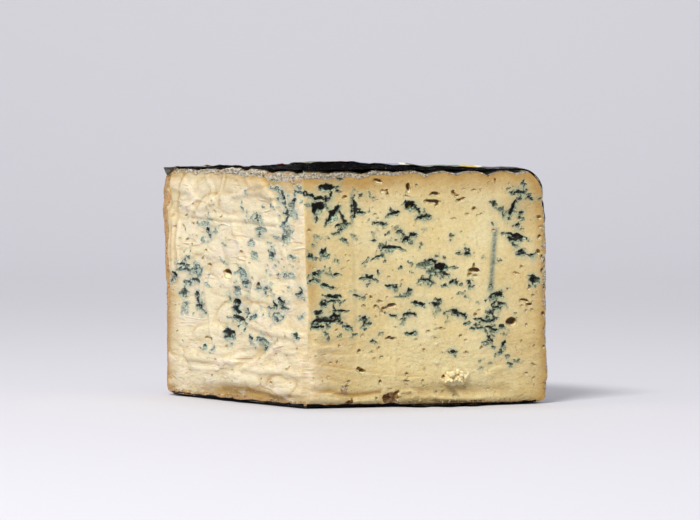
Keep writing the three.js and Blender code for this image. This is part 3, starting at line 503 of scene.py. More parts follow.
# ---- The cheese: mesh -------------------------------------------------------------------------
# A closed skin in rings: over the base, up the cut faces and the heel, over the rind's frayed edge
# and across the top under the foil. Where paste, mould and rind lie is kept with each point.
FACE_COLUMNS = 192
HEEL_COLUMNS = 60
WALL_ROWS = 168
BAND_ROWS = 9
INWARD_BAND = 0.05
TOP_RINGS = (0.07, 0.1, 0.16, 0.26, 0.42, 0.62, 0.82)
BASE_RINGS = (0.6, 0.25, 0.05)
MIDDLE = np.array([0, 0.6 * WHEEL_RADIUS])
FLAT_TOP = 115.1
NOSE_ROUND_LOW, NOSE_ROUND_HIGH = 8.5, 0.6
HALF_WEDGE = math.radians(53.5)

shares = np.arange(FACE_COLUMNS) / FACE_COLUMNS
heel_angles = mix(CUT_ANGLE["right"], CUT_ANGLE["left"], np.arange(HEEL_COLUMNS) / HEEL_COLUMNS)
rises = np.concatenate([[0, 0.002, 0.005], np.linspace(0.01, 0.99, WALL_ROWS - 6), [0.994, 0.998, 1]])
nominal = CHEESE_BASE + (RIM_TOP - CHEESE_BASE) * rises[:, None]


def low_down(up):
    """1 near the base, where the knife wrapped paste round the nose, and 0 higher up."""
    return 1 - step(up, 20, 38)


def found_openings(side, along, up):
    """The fields of blue, brown and straw openings: the listed ones and those too small to list."""
    listed = {"blue": openings(BLUE[side]), "brown": openings(BROWN[side]), "straw": openings(STRAW[side])}
    veins = [opening for opening in listed["blue"] if opening[5] > 0.5]
    listed["blue"] = with_arms(side, listed["blue"])
    listed["blue"] += scattered(side, 90, veins, 3.4, 0.5, 1.1, (0.45, 1))
    listed["blue"] += scattered(side, 60, veins, 6, 0.45, 0.9, (0.2, 0.6))
    listed["brown"] += scattered(side, 46, None, 0, 0.45, 0.85, (0.3, 0.8))
    listed["straw"] += scattered(side, 70, None, 0, 0.45, 1.1, (0.4, 1))
    return [opening_fields(side, along, up, those, *OPENING_KINDS[kind]) for kind, those in listed.items()]


# How far the paste swells round an opening: at all, and round a brown one beside that
SWOLLEN_LIP = {"right": (0.14, 1.4), "left": (0.45, 0.7)}
PIT_SHARE = {"right": 1, "left": 0.75}


def face_relief(side, along, up, rim_away, found):
    """How far the paste stands out of the cut's plane, and how deep each point lies in its folds."""
    blue, brown, straw = found
    relief = fold_height(side, along, up) + fine_relief(side, along, up)
    if side == "right":
        relief += clinging_height(along, up)
        relief -= 0.7 * (1 - np.exp(-along / 3.2)) * step(up, 34, 46) * step(104 - up, 0, 10)
    swollen, round_holes = SWOLLEN_LIP[side]
    relief += swollen * (hump(blue.inside + 0.4, 0, 0.8) * blue.strength
                         + round_holes * hump(brown.inside + 0.35, 0, 0.45) * brown.strength)
    hollows = smoothed(relief) - relief
    pits = PIT_SHARE[side] * np.maximum.reduce([blue.depth, brown.depth, straw.depth])
    fade = step(along, 0, mix(5, 2, low_down(up))) * step(rim_away, 0, 4)
    relief = relief * fade - pits * step(along, 0, 1.2) * step(rim_away, 0, 1.5) * step(up, 1, 3)
    return relief, hollows


def laid_on_face(side, fade_out, along, up, relief):
    """Plan places on a cut face, which turns round the nose: broad near the base, sharp above."""
    rounded = mix(NOSE_ROUND_LOW, NOSE_ROUND_HIGH, step(up, 27, 43))
    turned = along / (rounded / math.tan(HALF_WEDGE))
    sweep = np.minimum(turned, 1) * (math.pi / 2 - HALF_WEDGE)
    way = 1 if side == "right" else -1
    round_x = way * rounded * np.sin(sweep)
    round_y = rounded / math.sin(HALF_WEDGE) - rounded * np.cos(sweep)
    x, y = (np.where(turned < 1, turning, along * ALONG[side][i])
            for i, turning in enumerate((round_x, round_y)))
    return x + nose_sideways(up) * fade_out + relief * OUTWARD[side][0], y + relief * OUTWARD[side][1]


RIM_BROWN = {"right": 0.7, "left": 0.8}
HOLLOW_SHADE = {"right": 0.35, "left": 0.34}


def face_browning_and_shade(side, along, up, rim_away, below_top, hollows):
    """How brown the paste is painted: brown under the rind, at the rims and near the base, painted shade in
    its folds, its creases and above the knife line, painted light on its crests, and patches of both.
    """
    patches = sum(amount * hump(along, s, reach) * hump(up, z, rise)
                  for s, z, reach, rise, amount in BROWNED_AND_SHADED[side])
    under_rind = np.maximum(below_top, 0)
    browned_and_shade = 0.95 * np.exp(-under_rind / 2.8) + 0.15 * np.exp(-under_rind / 12)
    browned_and_shade += RIM_BROWN[side] * hump(rim_away, 0, 4.5) + 0.25 * hump(rim_away, 0, 12)
    browned_and_shade += 0.4 * hump(up, 0, 6) + patches
    # Painted shade in the relief's hollows, and painted light on its crests
    browned_and_shade += np.clip(hollows / 0.3, -0.4, 1) * HOLLOW_SHADE[side]
    if side == "right":
        # Painted shadow just above the knife line, and painted shade in the crease along the base
        browned_and_shade += 0.5 * hump(path_distance(along, up - 0.7, KNIFE_LINE)[0], 0, 0.4)
        browned_and_shade += 0.7 * hump(path_distance(along, up, BASE_CREASE)[0], 0, 0.7)
    else:
        # Painted shade in the creases between the left face's pillows and pleats, in patches
        pillows, pleats = pillow_fields(along, up)
        shown = step(lumps(along * 0.5, up, 0, 17, SEEDS[side] + 17), -0.25, 0.45)
        browned_and_shade += shown * (0.5 * hump(pillows, 0, 0.08) + 0.3 * hump(pleats, 0, 0.09))
    return mix(browned_and_shade, 0.35 + 0.4 * hump(up, 0, 6), hump(along, 0, 7) * low_down(up))


BASE_RIND = {"right": 1.6, "left": 2.8}


def face_rind(side, along, up, rim_away, below_top):
    """Where rind shows on a cut face, where it is tanned, and where bits of it came away."""
    seed = SEEDS[side]
    edge = hump(np.maximum(up - 1, 0), 0, BASE_RIND[side])
    frayed = 0.5 + 0.5 * lumps(along, up, 3, 2.4, seed + 9)
    flaked = 0.7 + 2.4 * np.maximum(lumps(up, 0, 8, 4.5, seed + 15), 0)
    flaked = flaked + 0.8 * lumps(along, up, 11, 1.8, seed + 16)
    rim = (0.55 + 0.55 * hump(up, 66, 24)) * hump(rim_away, 0, np.maximum(flaked, 0.5))
    rind = np.clip(np.maximum(edge, rim) * (0.4 + frayed), 0, 1)
    tanned, torn = np.zeros(up.shape), np.zeros(up.shape)
    if side == "left":
        strip = np.interp(up, *RIM_STRIP) * (0.8 + 0.4 * frayed)
        tanned = step(strip - rim_away, -0.6, 0.6)
        rind = np.maximum(rind, tanned * (0.42 + 0.4 * frayed))
    tanned = np.maximum(tanned, 0.75 * edge)
    lap = np.interp(along, *RIND_LAP[side]) * (0.5 + 0.9 * frayed)
    rind = np.maximum(rind, step(lap - below_top, -0.5, 0.5) * (0.45 + 0.5 * frayed))
    if side == "right":
        crack = 1.3 * lumps(along, up, 5, 1.7, seed + 14)
        for place, length, height, share in RIND_PATCHES:
            patch = depth_near(along + crack, up + crack, place, length, height)
            rind, tanned = np.maximum(rind, share * patch), np.maximum(tanned, 0.25 * patch)
        for place, length, height in TORN_GAPS:
            torn = torn + depth_near(along + 1.2 * crack, up + 1.2 * crack, place, length, height)
        crumbly = hump(up, 66, 25) * hump(rim_away, 0, 2.4)
        rind = np.maximum(rind, 0.95 * crumbly * (0.4 + frayed))
        tanned = tanned * (1 - 0.8 * crumbly)
    return rind, tanned, torn


def cut_face(side, share):
    """The wall of one cut face: places in the wheel's plan, heights, and what lies at each point."""
    reach = heel_radius(CUT_ANGLE[side], nominal)
    along = share[None, :] * (reach + crust(CUT_ANGLE[side], nominal) * step(share[None, :], 0.94, 1))
    rim_away = (1 - share[None, :]) * reach
    up = nominal - (RIM_TOP - paste_top(side, along)) * rises[:, None] ** 8
    found = found_openings(side, along, up)
    relief, hollows = face_relief(side, along, up, rim_away, found)
    x, y = laid_on_face(side, 1 - share[None, :], along, up, relief)
    below_top = paste_top(side, along) - up
    rind, tanned, torn = face_rind(side, along, up, rim_away, below_top)
    blue, brown, straw = found
    fields = {"blue": blue.inside, "blue_shaded": blue.shaded, "blue_strength": blue.strength,
              "blue_tint": blue.tint,
              "brown": brown.inside, "brown_shaded": brown.shaded, "brown_strength": brown.strength,
              "straw": straw.inside, "straw_shaded": straw.shaded,
              "channel": channel_tint(side, along, up), "torn": torn, "rind": rind, "tanned": tanned,
              "browned_and_shade": face_browning_and_shade(side, along, up, rim_away, below_top, hollows) + 1.1 * torn,
              "laid_along": along * WIDENED[side] * (1 if side == "right" else -1), "laid_up": up}
    if side == "right":
        fields |= {"crumbled": clinging_height(along, up), "smear": hump(along, 0, 12) * low_down(up)}
    else:
        fields |= {"crumbled": np.zeros(up.shape), "smear": np.ones(up.shape)}
    return x, y, up, fields


def depth_near(along, up, place, length, height):
    return step(depth_inside(along, up, place, length, height, 0), -0.6, 0.6)


DISTANCES = tuple(kind + shaded for kind in OPENING_KINDS for shaded in ("", "_shaded"))


def heel_wall():
    angle = heel_angles[None, :]
    from_rim = np.minimum(rim_share(angle), 1 - rim_share(angle))
    radius = heel_radius(angle, nominal) + crust(angle, nominal) * mix(1, 0.4, step(from_rim, 0, 0.03))
    up = nominal + 0 * angle
    fields = {name: np.zeros(up.shape) for name in right_wall[3]}
    fields |= {name: np.full(up.shape, FAR_OUTSIDE) for name in DISTANCES}
    fields |= {"browned_and_shade": np.full(up.shape, 0.5), "rind": np.ones(up.shape),
               "laid_along": mix(1, -WIDENED["left"], rim_share(angle)) * radius, "laid_up": up}
    return radius * np.cos(angle), radius * np.sin(angle), up, fields


right_wall = cut_face("right", shares)
heel = heel_wall()
left_wall = cut_face("left", 1 - shares)
wall = [np.concatenate(parts, axis=1) for parts in zip(right_wall[:3], heel[:3], left_wall[:3])]
fields = {name: np.concatenate([part[3][name] for part in (right_wall, heel, left_wall)], axis=1)
          for name in right_wall[3]}
columns = wall[0].shape[1]
face_side = np.array(["right"] * FACE_COLUMNS + ["heel"] * HEEL_COLUMNS + ["left"] * FACE_COLUMNS)
edge_along = np.hypot(wall[0][-1], wall[1][-1])

# The frayed rind: it leans out in a frill over the paste, then rolls inward under the foil
band_height = np.full(columns, 0.15)
for side in SIDES:
    band_height = np.where(face_side == side, np.interp(edge_along, *RIND_BAND[side]), band_height)
lean = np.array([OUTWARD.get(side, (0, 0)) for side in face_side])
band = []
for row in range(1, BAND_ROWS + 1):
    w = row / BAND_ROWS
    inward = INWARD_BAND * w ** 2.2
    x, y = (mix(wall[i][-1], MIDDLE[i], inward) for i in (0, 1))
    z = wall[2][-1] + band_height * math.sin(math.pi / 2 * w ** 0.8)
    frill = math.sin(math.pi * min(1, 1.25 * w)) * (0.45 + 0.5 * lumps(x, y, z, 2.3, 21)
                                                    + 0.3 * lumps(x, y, z, 1.2, 22))
    frill = frill * np.minimum(1, band_height / 2) * step(edge_along, 1, 6)
    z = z + 0.35 * math.sin(math.pi * w) * lumps(x, y, z, 2.8, 23) * np.minimum(1, band_height)
    band.append((x + lean[:, 0] * frill, y + lean[:, 1] * frill, z))
top = []
for inward in TOP_RINGS:
    x, y = (mix(wall[i][-1], MIDDLE[i], inward) for i in (0, 1))
    z = mix(band[-1][2], FLAT_TOP, step(inward, 0.05, 0.3)) + 0.15 * lumps(x, y, 0, 6, 24)
    top.append((x, y, z))
base = [(mix(wall[0][0], MIDDLE[0], inward), mix(wall[1][0], MIDDLE[1], inward), wall[2][0])
        for inward in BASE_RINGS]
cheese_rings = [np.stack(ring, 1) for ring in base + list(zip(*wall)) + band + top]


def placed(name, data):
    """An object at the origin for a mesh, a lamp or the camera."""
    made = bpy.data.objects.new(name, data)
    bpy.context.scene.collection.objects.link(made)
    return made


def mesh_of(name, points, faces, fields, smooth=True):
    """A mesh from points in the wheel's frame, in millimetres, with each field's value at each point."""
    mesh = bpy.data.meshes.new(name)
    mesh.from_pydata(((points + WHEEL_AXIS) * 0.001).tolist(), [], faces)
    for field, values in fields.items():
        attribute = mesh.attributes.new(field, "FLOAT", "POINT")
        attribute.data.foreach_set("value", np.asarray(values, np.float32))
    mesh.polygons.foreach_set("use_smooth", np.full(len(mesh.polygons), smooth))
    mesh.update()
    return mesh


def ringed_skin(name, ring_list, point_fields):
    """A closed mesh from rings of points, with a middle point closing each end."""
    count, width = len(ring_list), len(ring_list[0])
    points = np.concatenate(ring_list + [ring_list[0].mean(0)[None], ring_list[-1].mean(0)[None]])
    here = np.arange(width)
    there = (here + 1) % width
    quads = [np.stack([r * width + here, r * width + there,
                       (r + 1) * width + there, (r + 1) * width + here], 1)
             for r in range(count - 1)]
    low, high = count * width, count * width + 1
    fans = [(int(b), int(a), low) for a, b in zip(here, there)]
    fans += [(int(a) + (count - 1) * width, int(b) + (count - 1) * width, high) for a, b in zip(here, there)]
    return placed(name, mesh_of(name, points, np.concatenate(quads).tolist() + fans, point_fields))


# The fields go on under the wall, over its base rings, and above it, over the rind's band and the top
above = len(band) + len(top)
fields["above_paste"] = np.zeros(fields["blue"].shape)
CLOSED = {"rind": 1.0, "browned_and_shade": 0.4} | {name: FAR_OUTSIDE for name in DISTANCES}
point_fields = {}
for name, values in fields.items():
    closed = CLOSED.get(name, 0.0)
    low, high = [np.full(columns, closed)] * len(base), [np.full(columns, closed)] * above
    if name == "laid_along":
        low, high = [values[0]] * len(base), [values[-1]] * above
    elif name == "laid_up":
        low = [values[0] - 3 * (len(base) - r) for r in range(len(base))]
        high = [ring[2] for ring in band] + [band[-1][2] + 4 * r for r in range(1, len(top) + 1)]
    elif name == "above_paste":
        high = [np.full(columns, min(1, (r + 1) / BAND_ROWS)) for r in range(above)]
    rows = low + list(values) + high
    point_fields[name] = np.append(np.concatenate(rows), [closed, closed])
cheese = ringed_skin("cheese_skin", cheese_rings, point_fields)
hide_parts("cheese")
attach(cheese, "root")

# ---- The cheese: finish -----------------------------------------------------------------------
# Straw to cream paste with a fine, slightly greasy grain, brown toward the rind, with painted shade in its
# folds and creases. Mould is blue-green in an opening and pale beyond, with painted brown-black shade under
# its upper lip and a painted mint highlight on its lower lip; the rind is grey-white over tan.


def colour(red, green, blue):
    """A colour as it is read on screen, 0 to 255, in the scene's linear values."""
    parts = [c / 255 for c in (red, green, blue)]
    return tuple(c / 12.92 if c <= 0.04045 else ((c + 0.055) / 1.055) ** 2.4 for c in parts) + (1.0,)


class Finish:
    """A tree's nodes, laid one at a time: a material's, a shared group's or the crumbs'."""

    def __init__(self, tree):
        self.tree = tree

    def feed(self, made, inputs):
        for socket, value in inputs.items():
            if isinstance(value, bpy.types.NodeSocket):
                self.tree.links.new(value, made.inputs[socket])
            else:
                made.inputs[socket].default_value = value
        return made

    def lay(self, kind, inputs=None, family="ShaderNode", **settings):
        made = self.tree.nodes.new(family + kind)
        for name, value in settings.items():
            setattr(made, name, value)
        return self.feed(made, inputs or {})

    def group(self, tree, inputs):
        """A shared group with this finish's own values."""
        made = self.tree.nodes.new("ShaderNodeGroup")
        made.node_tree = tree
        return self.feed(made, inputs).outputs

    def at(self):
        return self.lay("TexCoord").outputs["Object"]

    def kept(self, name):
        """What the mesh keeps with each point under that name."""
        return self.lay("Attribute", attribute_name=name).outputs["Fac"]

    def math(self, operation, a, b=0.0):
        return self.lay("Math", {0: a, 1: b}, operation=operation).outputs[0]

    def sum(self, *parts):
        return functools.reduce(lambda a, b: self.math("ADD", a, b), parts)

    def times(self, *factors):
        return functools.reduce(lambda a, b: self.math("MULTIPLY", a, b), factors)

    def vector(self, operation, a, b):
        """Places moved, or stretched by a vector or, for SCALE, by one number."""
        socket = 3 if operation == "SCALE" else 1
        return self.lay("VectorMath", {0: a, socket: b}, operation=operation).outputs[0]

    def ramp(self, value, low, high, to_low=0.0, to_high=1.0):
        ends = {"From Min": low, "From Max": high, "To Min": to_low, "To Max": to_high}
        return self.lay("MapRange", {"Value": value} | ends,
                        interpolation_type="SMOOTHSTEP").outputs["Result"]

    def clamped(self, value):
        return self.lay("Clamp", {0: value}).outputs[0]

    def over(self, share, below, above, blend="MIX"):
        return self.lay("Mix", {0: share, 6: below, 7: above}, data_type="RGBA", blend_type=blend).outputs[2]

    def shaded(self, body, shade):
        """The darker a place is shaded, the yellower it turns too."""
        tint = self.lay("CombineColor", {0: shade, 1: shade, 2: self.times(shade, shade)}).outputs[0]
        return self.over(1.0, body, tint, "MULTIPLY")

    def noise(self, size, detail=2.0, roughness=0.5, at=None, distortion=0.0):
        """Noise with lumps of about that size in millimetres."""
        return self.lay("TexNoise", {"Vector": at or self.at(), "Scale": 1000 / size, "Detail": detail,
                                     "Roughness": roughness, "Distortion": distortion}).outputs["Fac"]

    def crests(self, size, at, distortion=0.0):
        """Sharp crests up to 1 that wander about as far apart as that size."""
        swing = self.sum(self.times(self.noise(size, 2, 0.5, at, distortion), 2.0), -1.0)
        return self.math("SUBTRACT", 1.0, self.math("ABSOLUTE", swing))

    def dress(self, shader, tone, rough, height, millimetres, strength=1.0):
        """Joins a colour, a roughness and dents of that depth to the material's shader."""
        dents = self.lay("Bump", {"Height": height, "Distance": 0.001 * millimetres, "Strength": strength})
        self.feed(shader, {"Base Color": tone, "Roughness": rough, "Normal": dents.outputs["Normal"]})


def new_material(name):
    material = bpy.data.materials.new(name)
    material.use_nodes = True
    return material, Finish(material.node_tree), material.node_tree.nodes["Principled BSDF"]


def new_group(name, inputs, outputs):
    tree = bpy.data.node_groups.new(name, "ShaderNodeTree")
    for way, sockets in (("INPUT", inputs), ("OUTPUT", outputs)):
        for socket, kind in sockets.items():
            tree.interface.new_socket(socket, in_out=way, socket_type="NodeSocket" + kind)
    return tree, Finish(tree), tree.nodes.new("NodeGroupInput").outputs, tree.nodes.new("NodeGroupOutput")


# Moist grain: small pores and curd-sized bumps, which paste, rind and crumbs share
grain, g, given, out = new_group("moist_grain", {"Place": "Vector", "Pore Size": "Float", "Depth": "Float"},
                                 {"Height": "Float", "Pores": "Float"})
scaled = g.vector("SCALE", given["Place"], g.math("DIVIDE", 1.0, given["Pore Size"]))
coarse = g.noise(1.0, 3, 0.6, scaled)
cells = g.lay("TexVoronoi", {"Vector": scaled, "Scale": 620.0, "Randomness": 1.0},
              feature="F1").outputs["Distance"]
sparse = g.ramp(g.noise(3.2, 1, 0.5, scaled), 0.5, 0.66)
pores = g.times(g.ramp(cells, 0.16, 0.34, 1.0, 0.0), sparse)
height = g.sum(g.times(coarse, 0.8), g.times(pores, -0.9))
g.feed(out, {"Height": g.times(height, given["Depth"]), "Pores": pores})

# Where a pair is given, the first is for a clean cut and the second for a smeared one
PASTE_STRAW = colour(231, 212, 157)
PASTE_CREAM = colour(236, 222, 175)
PASTE_SMEARED = colour(240, 230, 203)
PASTE_BROWN_AND_SHADE = colour(191, 155, 88)
PLEAT_SHADE = colour(206, 168, 112)
PLEAT_HIGHLIGHT = colour(251, 245, 226)
DRAG_SHADE = colour(216, 176, 120)
FLECK_HIGHLIGHT = colour(252, 246, 226)
TICK_SHADE = colour(196, 152, 84)
MOULD_PAINTED_SHADE = colour(28, 23, 17)
MOULD_EDGE = colour(40, 58, 50)
MOULD_SPECK = colour(42, 52, 46)
MOULD_TEAL = colour(72, 92, 80), colour(82, 104, 102)
MOULD_ASH = colour(132, 150, 126), colour(178, 198, 190)
MOULD_MINT_HIGHLIGHT = colour(198, 216, 186)
MOULD_HAZE = colour(178, 184, 158)
MOULD_OLIVE = colour(170, 160, 98)
MOULD_FLAKE = colour(244, 243, 230)
MOULD_BLOOM = colour(194, 198, 156), colour(206, 222, 206)
CHANNEL_BLUE = colour(116, 132, 122)
HOLE_SHADE = colour(66, 44, 12)
HOLE_SHALLOW_SHADE = colour(150, 106, 38)
HOLE_WALL = colour(198, 160, 74)
HOLE_LIP_HIGHLIGHT = colour(248, 236, 192)
STRAW_SHADE = colour(166, 124, 56)
TORN_DARK = colour(74, 46, 24)
TORN_TAN = colour(168, 118, 76)
CRUMB_CREAM = colour(246, 236, 196)
RIND_WHITE = colour(216, 209, 192)
RIND_GREY = colour(142, 135, 115)
RIND_TAN = colour(204, 170, 124)
RIND_OCHRE = colour(214, 164, 108)
RIND_SPECK = colour(82, 52, 34)

paste, p, shader = new_material("blue_veined_paste")
laid = p.vector("SCALE", p.lay("CombineXYZ", {0: p.kept("laid_along"), 1: p.kept("laid_up")}).outputs[0],
                0.001)
drawn_place = p.vector("MULTIPLY", laid, (0.6, 1.0, 1.0))
grained = p.group(grain, {"Place": laid, "Pore Size": 1.0, "Depth": 1.0})
smear = p.kept("smear")
body = p.over(p.ramp(p.noise(26, 3, 0.55, laid), 0.36, 0.66), PASTE_STRAW, PASTE_CREAM)
body = p.over(p.times(smear, p.ramp(p.noise(9, 3, 0.6, laid), 0.3, 0.7, 0.55, 1.0)), body, PASTE_SMEARED)
uneven = p.times(p.sum(p.noise(7, 3, 0.6, laid), -0.5), 0.35)
# This brown tone holds the paste's browning and the painted shade in its folds and creases
body = p.over(p.times(p.sum(p.kept("browned_and_shade"), uneven), 0.85), body, PASTE_BROWN_AND_SHADE)
body = p.shaded(body, p.ramp(p.noise(1.8, 3, 0.65, laid), 0.3, 0.72, 0.93, 1.05))
# Pores are darkened with the same tone, as painted shade in them
body = p.over(p.times(grained["Pores"], 0.4), body, PASTE_BROWN_AND_SHADE)
body = p.shaded(body, p.ramp(p.noise(0.7, 2, 0.7, laid), 0.3, 0.7, 0.94, 1.04))

# Pleats and drag lines where the knife smeared the paste: a pleat's crest gets a painted highlight with
# painted shade just below it, and a drag line gets painted shade where it faces down
in_places = p.times(p.ramp(p.noise(12, 1, 0.5, laid), 0.5, 0.64), smear)
pleats = []
for lower, tone, share in ((0.0007, PLEAT_SHADE, 0.55), (0.0, PLEAT_HIGHLIGHT, 0.6)):
    folded = p.crests(8, p.vector("ADD", drawn_place, (0.0, lower, 0.0)), 0.4)
    pleats.append(p.times(p.ramp(folded, 0.84, 0.97), in_places))
    body = p.over(p.times(pleats[-1], share), body, tone)
dragged, dragged_lower = (p.crests(2.6, p.vector("ADD", drawn_place, (0.0, lower, 0.0)))
                          for lower in (0.0, 0.0004))
near_base = p.ramp(p.kept("laid_up"), 25.0, 50.0, 0.42, 0.12)
in_shade = p.times(p.ramp(p.math("SUBTRACT", dragged_lower, dragged), 0.02, 0.2), smear, near_base)
body = p.over(p.times(in_shade, 0.8), body, DRAG_SHADE)
# Small painted highlights on the smeared paste, and short painted shades in small dents
highlight_flecks = p.times(p.ramp(p.noise(1.5, 3, 0.7, drawn_place), 0.6, 0.68),
                 p.ramp(p.noise(14, 2, 0.5, laid), 0.4, 0.6))
shaded_ticks = p.times(p.ramp(p.noise(1.7, 3, 0.7, drawn_place), 0.36, 0.29),
                p.ramp(p.noise(11, 2, 0.5, laid), 0.5, 0.62))
body = p.over(p.times(highlight_flecks, p.ramp(smear, 0.0, 1.0, 0.25, 0.6)), body, FLECK_HIGHLIGHT)
body = p.over(p.times(shaded_ticks, p.ramp(smear, 0.0, 1.0, 0.25, 0.55)), body, TICK_SHADE)

# Mould: a haze in the paste, a dark edge round each opening, ash-green within, a painted mint highlight on
# the lower lip, and painted brown-black shade under the upper lip
ragged = p.sum(p.times(p.sum(p.noise(1.5, 3, 0.65, laid), -0.48), 4.0),
               p.times(p.sum(p.noise(0.5, 2, 0.6, laid), -0.5), 1.6))
strength = p.kept("blue_strength")
strong = p.ramp(strength, 0.35, 0.85)
blue_in = p.sum(p.kept("blue"), ragged)
tinted = p.times(p.kept("blue_tint"), p.ramp(p.noise(2.2, 3, 0.65, laid), 0.32, 0.7, 0.2, 0.75))
body = p.over(p.clamped(tinted), body, MOULD_HAZE)
banded = p.times(p.kept("channel"), p.ramp(p.noise(1.3, 3, 0.65, laid), 0.3, 0.62, 0.45, 0.95))
body = p.over(p.clamped(banded), body, CHANNEL_BLUE)
blooming = p.times(p.ramp(p.sum(blue_in, p.times(smear, 0.45)), -0.8, 0.1),
                   p.ramp(strength, 0.2, 0.8, 0.55, 0.8))
body = p.over(blooming, body, p.over(smear, *MOULD_BLOOM))
tuft = p.noise(0.75, 3, 0.7, laid)
shaded_in = p.sum(p.kept("blue_shaded"), p.times(ragged, 0.8))
covered = p.ramp(p.sum(p.noise(1.0, 3, 0.65, laid), p.times(strength, 0.65), p.times(smear, 0.08)), 0.66,
                 0.98)
floor_tone = p.over(p.ramp(tuft, 0.42, 0.6), p.over(smear, *MOULD_TEAL), p.over(smear, *MOULD_ASH))
body = p.over(p.times(p.ramp(blue_in, -0.05, 0.25), covered), body, floor_tone)
at_edge = p.times(p.ramp(blue_in, -0.35, 0.0), p.ramp(blue_in, 0.6, 0.15))
body = p.over(p.times(at_edge, covered, p.ramp(smear, 0.0, 1.0, 1.0, 0.85)), body, MOULD_EDGE)
lit_lip = p.times(p.ramp(blue_in, 0.0, 0.3), p.ramp(shaded_in, 0.15, -0.15))
body = p.over(p.times(lit_lip, covered, p.ramp(p.noise(1.3, 2, 0.6, laid), 0.3, 0.55, 0.35, 1.0)), body,
              MOULD_MINT_HIGHLIGHT)
body = p.over(p.times(p.ramp(shaded_in, 0.1, 0.42), p.ramp(strength, 0.66, 0.86)), body, MOULD_PAINTED_SHADE)
specks = p.times(p.ramp(p.noise(1.0, 3, 0.7, laid), 0.5, 0.57), p.ramp(blue_in, -0.5, 0.1), smear,
                 p.ramp(strength, 0.3, 0.8, 0.2, 0.85))
body = p.over(specks, body, MOULD_SPECK)

# On the smeared cut, mould is also drawn out round each opening, olive in the paste and in pale flakes
about_mould = p.times(p.ramp(p.kept("blue_tint"), 0.12, 0.5), smear,
                      p.ramp(p.noise(6, 2, 0.5, laid), 0.4, 0.55, 0.3, 1.0))
olive = p.times(p.ramp(p.noise(1.25, 3, 0.7, drawn_place), 0.4, 0.34), about_mould,
                p.ramp(blue_in, 0.1, -0.2))
body = p.over(p.times(olive, 0.55), body, MOULD_OLIVE)
flaked = p.times(p.ramp(p.noise(1.1, 3, 0.7, drawn_place), 0.545, 0.6), about_mould)
body = p.over(p.times(flaked, p.ramp(shaded_in, 0.3, 0.0, 0.0, 0.85)), body, MOULD_FLAKE)

# Clean holes and chips: ochre walls, painted shade under the upper lip, ochre where shallow and dark where
# deep, and a painted cream highlight on the lower lip
brown_in = p.sum(p.kept("brown"), p.times(ragged, 0.22))
brown_strong = p.ramp(p.kept("brown_strength"), 0.0, 1.0, 0.45, 1.0)
hole_shaded_in = p.sum(p.kept("brown_shaded"), p.times(ragged, 0.22))
body = p.over(p.times(p.ramp(brown_in, -0.3, 0.1), brown_strong, 0.85), body, HOLE_WALL)
hole_lit = p.times(p.ramp(brown_in, -0.15, 0.15), p.ramp(hole_shaded_in, 0.1, -0.2), brown_strong)
body = p.over(hole_lit, body, HOLE_LIP_HIGHLIGHT)
hole_painted_shade = p.over(p.ramp(hole_shaded_in, 0.3, 0.75), HOLE_SHALLOW_SHADE, HOLE_SHADE)
body = p.over(p.times(p.ramp(hole_shaded_in, 0.0, 0.3), brown_strong), body, hole_painted_shade)
straw_in = p.sum(p.kept("straw"), p.times(ragged, 0.4))
straw_shaded_in = p.sum(p.kept("straw_shaded"), p.times(ragged, 0.4))
# A chip gets a painted cream highlight and, under its upper lip, painted shade
body = p.over(p.times(p.ramp(straw_in, -0.25, 0.1), 0.7), body, HOLE_LIP_HIGHLIGHT)
body = p.over(p.times(p.ramp(straw_shaded_in, -0.1, 0.25), 0.8), body, STRAW_SHADE)
body = p.over(p.ramp(p.kept("crumbled"), 0.15, 0.7, 0.0, 0.8), body, CRUMB_CREAM)
torn_grain = p.noise(1.3, 3, 0.65, laid)
torn = p.ramp(p.sum(p.kept("torn"), p.times(ragged, 0.25)), 0.3, 0.6)
body = p.over(p.times(torn, 0.92), body, p.over(p.ramp(torn_grain, 0.4, 0.6), TORN_DARK, TORN_TAN))

# Rind: white and grey bloom over tan skin, with dark specks
rind_mask = p.ramp(p.sum(p.kept("rind"), p.times(p.sum(p.noise(1.4, 3, 0.7, laid), -0.5), 1.3)), 0.38, 0.6)
rind_mask = p.times(rind_mask, p.ramp(hole_shaded_in, 0.2, -0.1))
tanned = p.kept("tanned")
frill = p.ramp(p.kept("above_paste"), 0.3, 0.62, 0.0, -0.13)
rind_tone = p.over(p.ramp(p.sum(p.noise(1.3, 4, 0.7, laid), frill), 0.42, 0.56), RIND_GREY, RIND_WHITE)
rind_tone = p.over(p.ramp(p.sum(p.noise(3.5, 3, 0.6, laid), p.times(tanned, 0.35)), 0.52, 0.66), rind_tone,
                   RIND_TAN)
rind_tone = p.over(p.times(tanned, p.ramp(p.noise(2.4, 3, 0.6, laid), 0.36, 0.58, 0.4, 0.95)), rind_tone,
                   RIND_OCHRE)
rind_tone = p.over(p.ramp(p.noise(0.9, 2, 0.65, laid), 0.58, 0.66), rind_tone, RIND_SPECK)
body = p.over(rind_mask, body, rind_tone)

